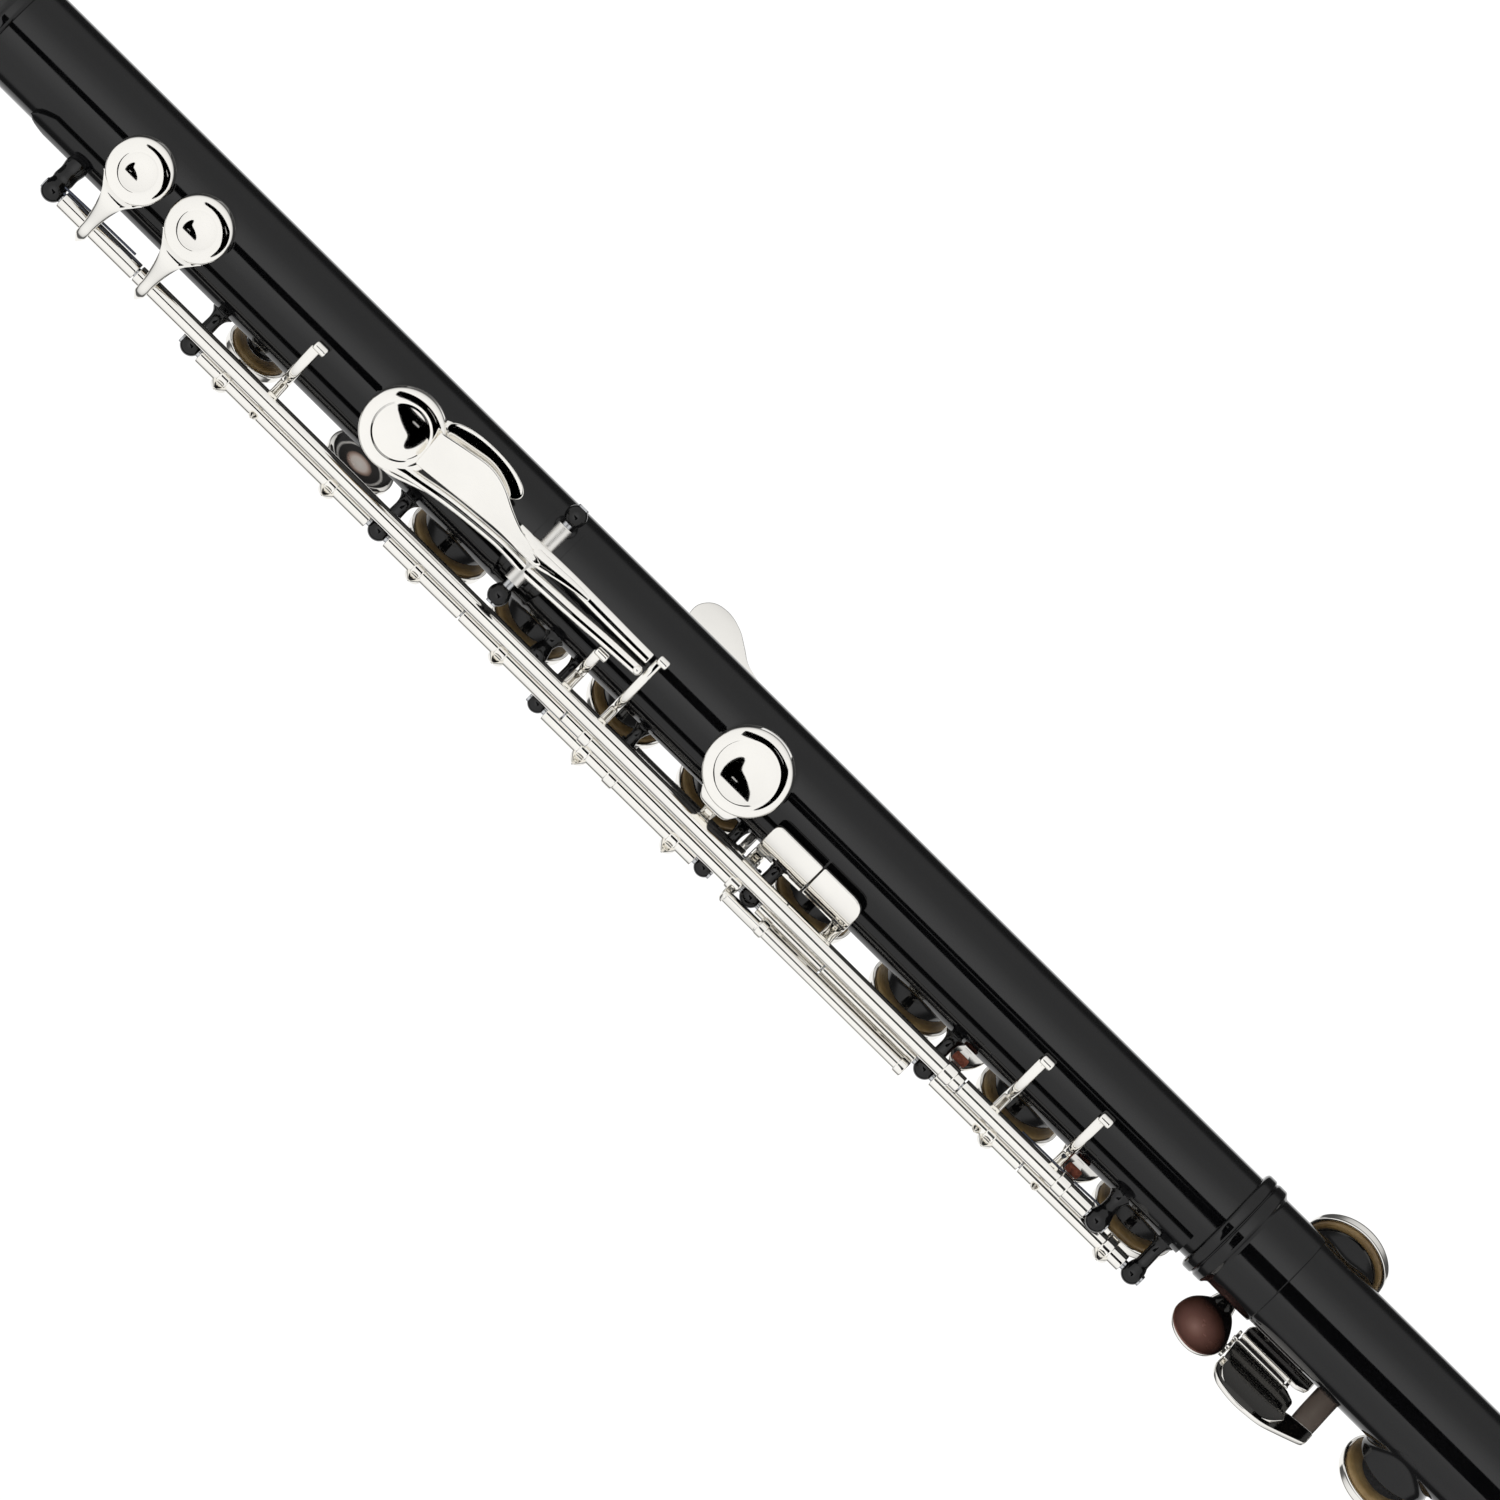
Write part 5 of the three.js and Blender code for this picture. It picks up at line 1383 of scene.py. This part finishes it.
def foot_csharp_key():
    cup = foot_cup("foot_csharp")

    def face(u, v):
        return 18.1 - 0.012 * (v - 7) ** 2

    plate = puck(dense_outline([
        (560.8, 7.5, .6), (574.0, 7.5, .6), (577.2, 6.6, .5), (582.2, 6.0, .5), (582.2, 9.4, .8),
        (578.2, 11.6, 1.6), (573.8, 14.0, 2), (567.5, 14.9, 3), (562.6, 13.6, 2),
        (560.7, 11.0, 2)]), face, below(face, 1.2), 0.35, (570.5, 10.5), scales=FINE_RINGS)

    # tray under the roller, rising into the touch plate as one underside
    def tray_floor(u, v):
        return 15.17 + 0.165 * (v - 4.6)

    tray = puck(dense_outline([
        (560.6, 4.6, .3), (573.4, 4.6, .3), (575.6, 5.6, .6), (575.8, 9.0, .2), (561.0, 9.0, .2)],
        step=0.7), below(tray_floor, -0.28), tray_floor, 0.12, (568.0, 6.8),
        scales=(0.3, 0.6, 0.85))
    wall = puck(dense_outline([
        (561.8, 8.2, .4), (575.4, 8.2, .4), (576.6, 9.6, .6), (574.6, 12.3, 2), (571.0, 13.7, 2),
        (567.0, 13.9, 2), (563.3, 12.6, 1.5), (561.8, 10.6, 1)], step=0.7),
        lambda u, v: 17.1, tray_floor, 0.15, (568.5, 10.8), scales=(0.3, 0.6, 0.85))
    add("foot_csharp_key_skin", merge(
        cup, hinge_tube(576.8, 604.9, FOOT), plate, tray, wall,
        roller_ears(C_SHARP_ROLLER, 1.25, 1), collar(596.6, FOOT), collar(579.6, FOOT, 5.2)),
        SILVER, "foot_csharp", "foot_csharp_key")
    arm_x = 579.6
    arm = sweep([(arm_x, -10.0, 13.6, 5.0, 1.7), (arm_x, -6.0, 15.4, 5.0, 1.5),
                 (arm_x, -1.0, 17.3, 5.0, 1.4), (arm_x, 4.0, 18.0, 5.0, 1.3),
                 (arm_x, 8.2, 17.6, 4.8, 1.2)], power=5)
    # Painted shade: the arm's downward faces take a darker, browner silver, near black towards its
    # edges.
    shaded = radial_painted_light(
        "silver_shaded", centre=(arm_x, 2.0, 17.0), radii=(2.9, 10.0, 10.0),
        stops=[(0.10, (0.40, 0.33, 0.28)), (0.78, (0.27, 0.21, 0.175)),
               (1.0, (0.035, 0.024, 0.018))],
        metallic=0.2, smoothest=0.30, roughest=0.42)
    add("foot_csharp_arm_skin", arm, SILVER, "foot_csharp", second=shaded, pick=faces_down)


def foot_c_key():
    def face(u, v):
        return 17.0 + 0.12 * v

    plate = puck(dense_outline([
        (560.8, 1.3, .5), (560.8, -1.4, 1.2), (563.5, -2.8, 1.2), (572.4, -2.9, 1.2),
        (576.3, -4.6, .6), (576.3, 0.4, .6), (574.4, 1.3, .5)]), face, below(face, 1.2), 0.3,
        (568.5, -0.9), scales=FINE_RINGS)
    arm = sweep([(574.4, -10.0, 13.6, 3.9, 1.7), (574.4, -7.0, 15.0, 3.8, 1.4),
                 (574.4, -3.6, 16.0, 3.6, 1.3), (574.4, -1.4, 16.3, 3.4, 1.1)])
    add("foot_c_touch_skin", merge(
        plate, arm, hinge_tube(571.7, 576.5, FOOT), roller_ears(C_ROLLER, 1.2, -1),
        collar(574.2, FOOT, 4.2)), SILVER, "foot_c", "foot_c_touch")
    add("foot_c_key_skin", merge(foot_cup("foot_c"), hinge_tube(609.8, 640.6, FOOT),
                                 collar(632.2, FOOT)), SILVER, "foot_c", "foot_c_key")


def rollers():
    profile = rounded([(0, 560.9), (1.0, 560.9, .2), (1.12, 562.2, .5), (1.12, 570.8, .5),
                       (1.0, 572.1, .2), (0, 572.1)])
    for name, line in (("c_roller", C_ROLLER), ("c_sharp_roller", C_SHARP_ROLLER)):
        barrel_shape = place(lathe(profile, 40, TO_X), Matrix.Translation((0, *line)))
        add(name + "_skin", merge(barrel_shape, rod(0.42, 559.8, 573.2, line, 20, .1)),
            SILVER, name, name)


# ------------------------------------------------------------------ needle springs
def springs():
    # (name, body, radius, three points along the wire)
    table = [
        ("trill_dsharp", "body", 0.24, (266.9, 13.9, 6.4), (275, 14.1, 5.9), (285.5, 14.4, 5.4)),
        ("trill_d", "body", 0.26, (266.9, 14.6, 7.0), (275, 14.4, 6.9), (287.4, 14.2, 6.6)),
        ("a", "body", 0.24, (350.4, 11.6, 12.0), (362, 11.4, 11.6), (372, 11.5, 11.4)),
        ("d", "body", 0.22, (527.5, 13.0, 6.6), (519, 12.6, 7.4), (507, 12.2, 8.0)),
        ("f", "body", 0.24, (443.3, 12.9, 10.9), (456, 12.7, 10.8), (470, 12.5, 10.9)),
        ("e", "body", 0.24, (486.8, 12.5, 10.8), (496, 12.2, 10.9), (503, 12.2, 11.0)),
        ("c_sharp", "body", 0.24, (303.5, 12.2, 10.9), (313, 12.0, 10.9), (322, 12.0, 11.0)),
        ("foot_c", "foot", 0.24, (607.3, -11.0, 10.6), (616, -11.2, 10.4), (626, -11.4, 10.4)),
        ("foot_ds", "foot", 0.24, (551.2, -11.6, 10.8), (557, -12.0, 10.7), (562, -12.4, 10.9)),
    ]
    for name, body, radius, *points in table:
        wire = sweep([(*point, 2 * radius, 2 * radius) for point in points], up=(0.3, 0.2, 1),
                     power=2, sides=12, cap=0.05)
        add("spring_" + name, wire, SPRING, body)


# ------------------------------------------------------------------ set: floor, light, camera
def floor():
    """Pale floor that is clear from below, where the camera stands."""
    material, tree, bsdf = start_material("floor_pale")
    mottle(tree, bsdf.inputs["Base Color"], scale=12, stops=[(0.3, 0.80), (0.7, 0.84)])
    bsdf.inputs["Roughness"].default_value = 0.6
    geometry = tree.nodes.new("ShaderNodeNewGeometry")
    clear = tree.nodes.new("ShaderNodeBsdfTransparent")
    mix = tree.nodes.new("ShaderNodeMixShader")
    tree.links.new(geometry.outputs["Backfacing"], mix.inputs[0])
    tree.links.new(bsdf.outputs[0], mix.inputs[1])
    tree.links.new(clear.outputs[0], mix.inputs[2])
    tree.links.new(mix.outputs[0], tree.nodes["Material Output"].inputs[0])
    z = -0.0265     # metres, like the corners
    mesh = bpy.data.meshes.new("floor")
    mesh.from_pydata([(-1.2, -1.6, z), (2.0, -1.6, z), (2.0, 1.6, z), (-1.2, 1.6, z)], [],
                     [(0, 1, 2, 3)])
    mesh.materials.append(material)
    obj = link_object("floor", mesh)
    obj.visible_glossy = False


def studio_world():
    world = bpy.data.worlds.new("studio")
    bpy.context.scene.world = world
    world.use_nodes = True
    tree = world.node_tree
    background = tree.nodes["Background"]
    coordinates = tree.nodes.new("ShaderNodeTexCoord")

    def direction_along(vector):
        node = tree.nodes.new("ShaderNodeVectorMath")
        node.operation = "DOT_PRODUCT"
        node.inputs[1].default_value = vector
        tree.links.new(coordinates.outputs["Generated"], node.inputs[0])
        return node.outputs["Value"]

    def calculate(operation, *values):
        node = tree.nodes.new("ShaderNodeMath")
        node.operation = operation
        for i, value in enumerate(values):
            if isinstance(value, (int, float)):
                node.inputs[i].default_value = value
            else:
                tree.links.new(value, node.inputs[i])
        return node.outputs[0]

    def curve(value, points):
        node = tree.nodes.new("ShaderNodeFloatCurve")
        line = node.mapping.curves[0]
        node.mapping.use_clip = True
        line.points[0].location = points[0]
        line.points[-1].location = points[-1]
        for point in points[1:-1]:
            line.points.new(*point)
        node.mapping.update()
        tree.links.new(value, node.inputs["Value"])
        return node.outputs[0]

    def replace_for(ray, other, level):
        """Another strength for one kind of ray."""
        node = tree.nodes.new("ShaderNodeMix")
        node.data_type = "FLOAT"
        tree.links.new(rays.outputs[ray], node.inputs[0])
        tree.links.new(level, node.inputs[2])
        node.inputs[3].default_value = other
        return node.outputs[0]

    out, across = direction_along(OUT_BACK), direction_along(ACROSS_BACK)
    # Strength from facing away from the camera (0) to towards it (1): white behind, a dim
    # band, then brightening. The band differs between the two sides of the flute.
    share = calculate("MULTIPLY_ADD", out, 0.5, 0.5)
    bright_end = [(0.38, 0.62), (0.52, 0.86), (0.75, 0.93), (1.0, 0.96)]
    far = curve(share, [(0.0, 0.95), (0.045, 0.95), (0.075, 0.10), (0.22, 0.10), (0.36, 0.62),
                        *bright_end[1:]])
    near = curve(share, [(0.0, 0.95), (0.17, 0.90), (0.205, 0.10), (0.29, 0.10), *bright_end])
    blend = tree.nodes.new("ShaderNodeMapRange")
    blend.interpolation_type = "SMOOTHSTEP"
    blend.inputs["From Min"].default_value = -0.1
    blend.inputs["From Max"].default_value = 0.1
    tree.links.new(across, blend.inputs["Value"])
    side = blend.outputs["Result"]
    far_part = calculate("MULTIPLY", far, calculate("SUBTRACT", 1.0, side))
    level = calculate("ADD", far_part, calculate("MULTIPLY", near, side))
    level = calculate("MULTIPLY", level, calculate("MULTIPLY_ADD", across, 0.08, 1.0))
    rays = tree.nodes.new("ShaderNodeLightPath")
    level = replace_for("Is Camera Ray", 1.06, level)
    level = replace_for("Is Diffuse Ray", 1.0, level)
    tree.links.new(level, background.inputs["Strength"])
    background.inputs["Color"].default_value = (1, 1, 1, 1)


def card(name, outline, out, strength):
    """Card seen only in reflections; its outline is (along, across) at the back, in mm."""
    material = bpy.data.materials.new(name)
    material.use_nodes = True
    tree = material.node_tree
    tree.nodes.clear()
    emission = tree.nodes.new("ShaderNodeEmission")
    output = tree.nodes.new("ShaderNodeOutputMaterial")
    tree.links.new(emission.outputs[0], output.inputs[0])
    emission.inputs["Strength"].default_value = strength
    emission.inputs["Color"].default_value = (1, 1, 1, 1)
    mesh = bpy.data.meshes.new(name)
    mesh.from_pydata([tuple(back(x, across, out) * MM) for x, across in outline], [],
                     [tuple(range(len(outline)))])
    mesh.materials.append(material)
    obj = link_object(name, mesh)
    obj.visible_camera = False
    obj.visible_diffuse = False
    obj.visible_shadow = False
    obj.visible_transmission = False


DARK_CARD = [
    (70, 2), (92, 52), (124, 96), (164, 138), (216, 165), (305, 218), (412, 265), (476, 288),
    (530, 316), (564, 372), (591, 450), (621, 510), (659, 548), (690, 552), (722, 530),
    (754, 480), (780, 410), (796, 320), (800, 230), (792, 140), (770, 60), (744, 8),
    (720, -12), (120, -12), (84, -8)]
CARD_GAP = [(440, 92), (440, 112), (560, 116), (560, 90)]


def camera():
    distance, half_view, sensor = 3.0, 0.13345, 36      # m, m, mm
    target = Vector((0.4249, 0, 0))
    right = Vector((0.7118, -0.4967, -0.4967)).normalized()
    up = Vector((-0.7024, -0.5033, -0.5033)).normalized()
    data = bpy.data.cameras.new("cam")
    obj = link_object("cam", data)
    turn = Matrix((right, up, OUT_BACK)).transposed().to_4x4()
    obj.matrix_world = Matrix.Translation(target + OUT_BACK * distance) @ turn
    data.sensor_width = sensor
    data.lens = sensor / (2 * (half_view / distance))
    data.clip_start = 0.05
    data.clip_end = 50
    bpy.context.scene.camera = obj
    bpy.context.scene.view_settings.view_transform = "Standard"


for build in (body_tube, foot_tube, barrel, head_tube, lip_plate, riser, crown_and_stopper,
              body_posts, thumb_saddle, body_rods, main_keys, b_flat_bridge, g_key,
              trill_keys, g_sharp_key, thumb_key, thumb_lever, foot_posts, foot_dsharp_key,
              foot_csharp_key, foot_c_key, rollers, springs, floor, studio_world):
    build()
card("dark_card", DARK_CARD, out=800, strength=0.0)
card("card_gap", CARD_GAP, out=799, strength=0.5)
camera()
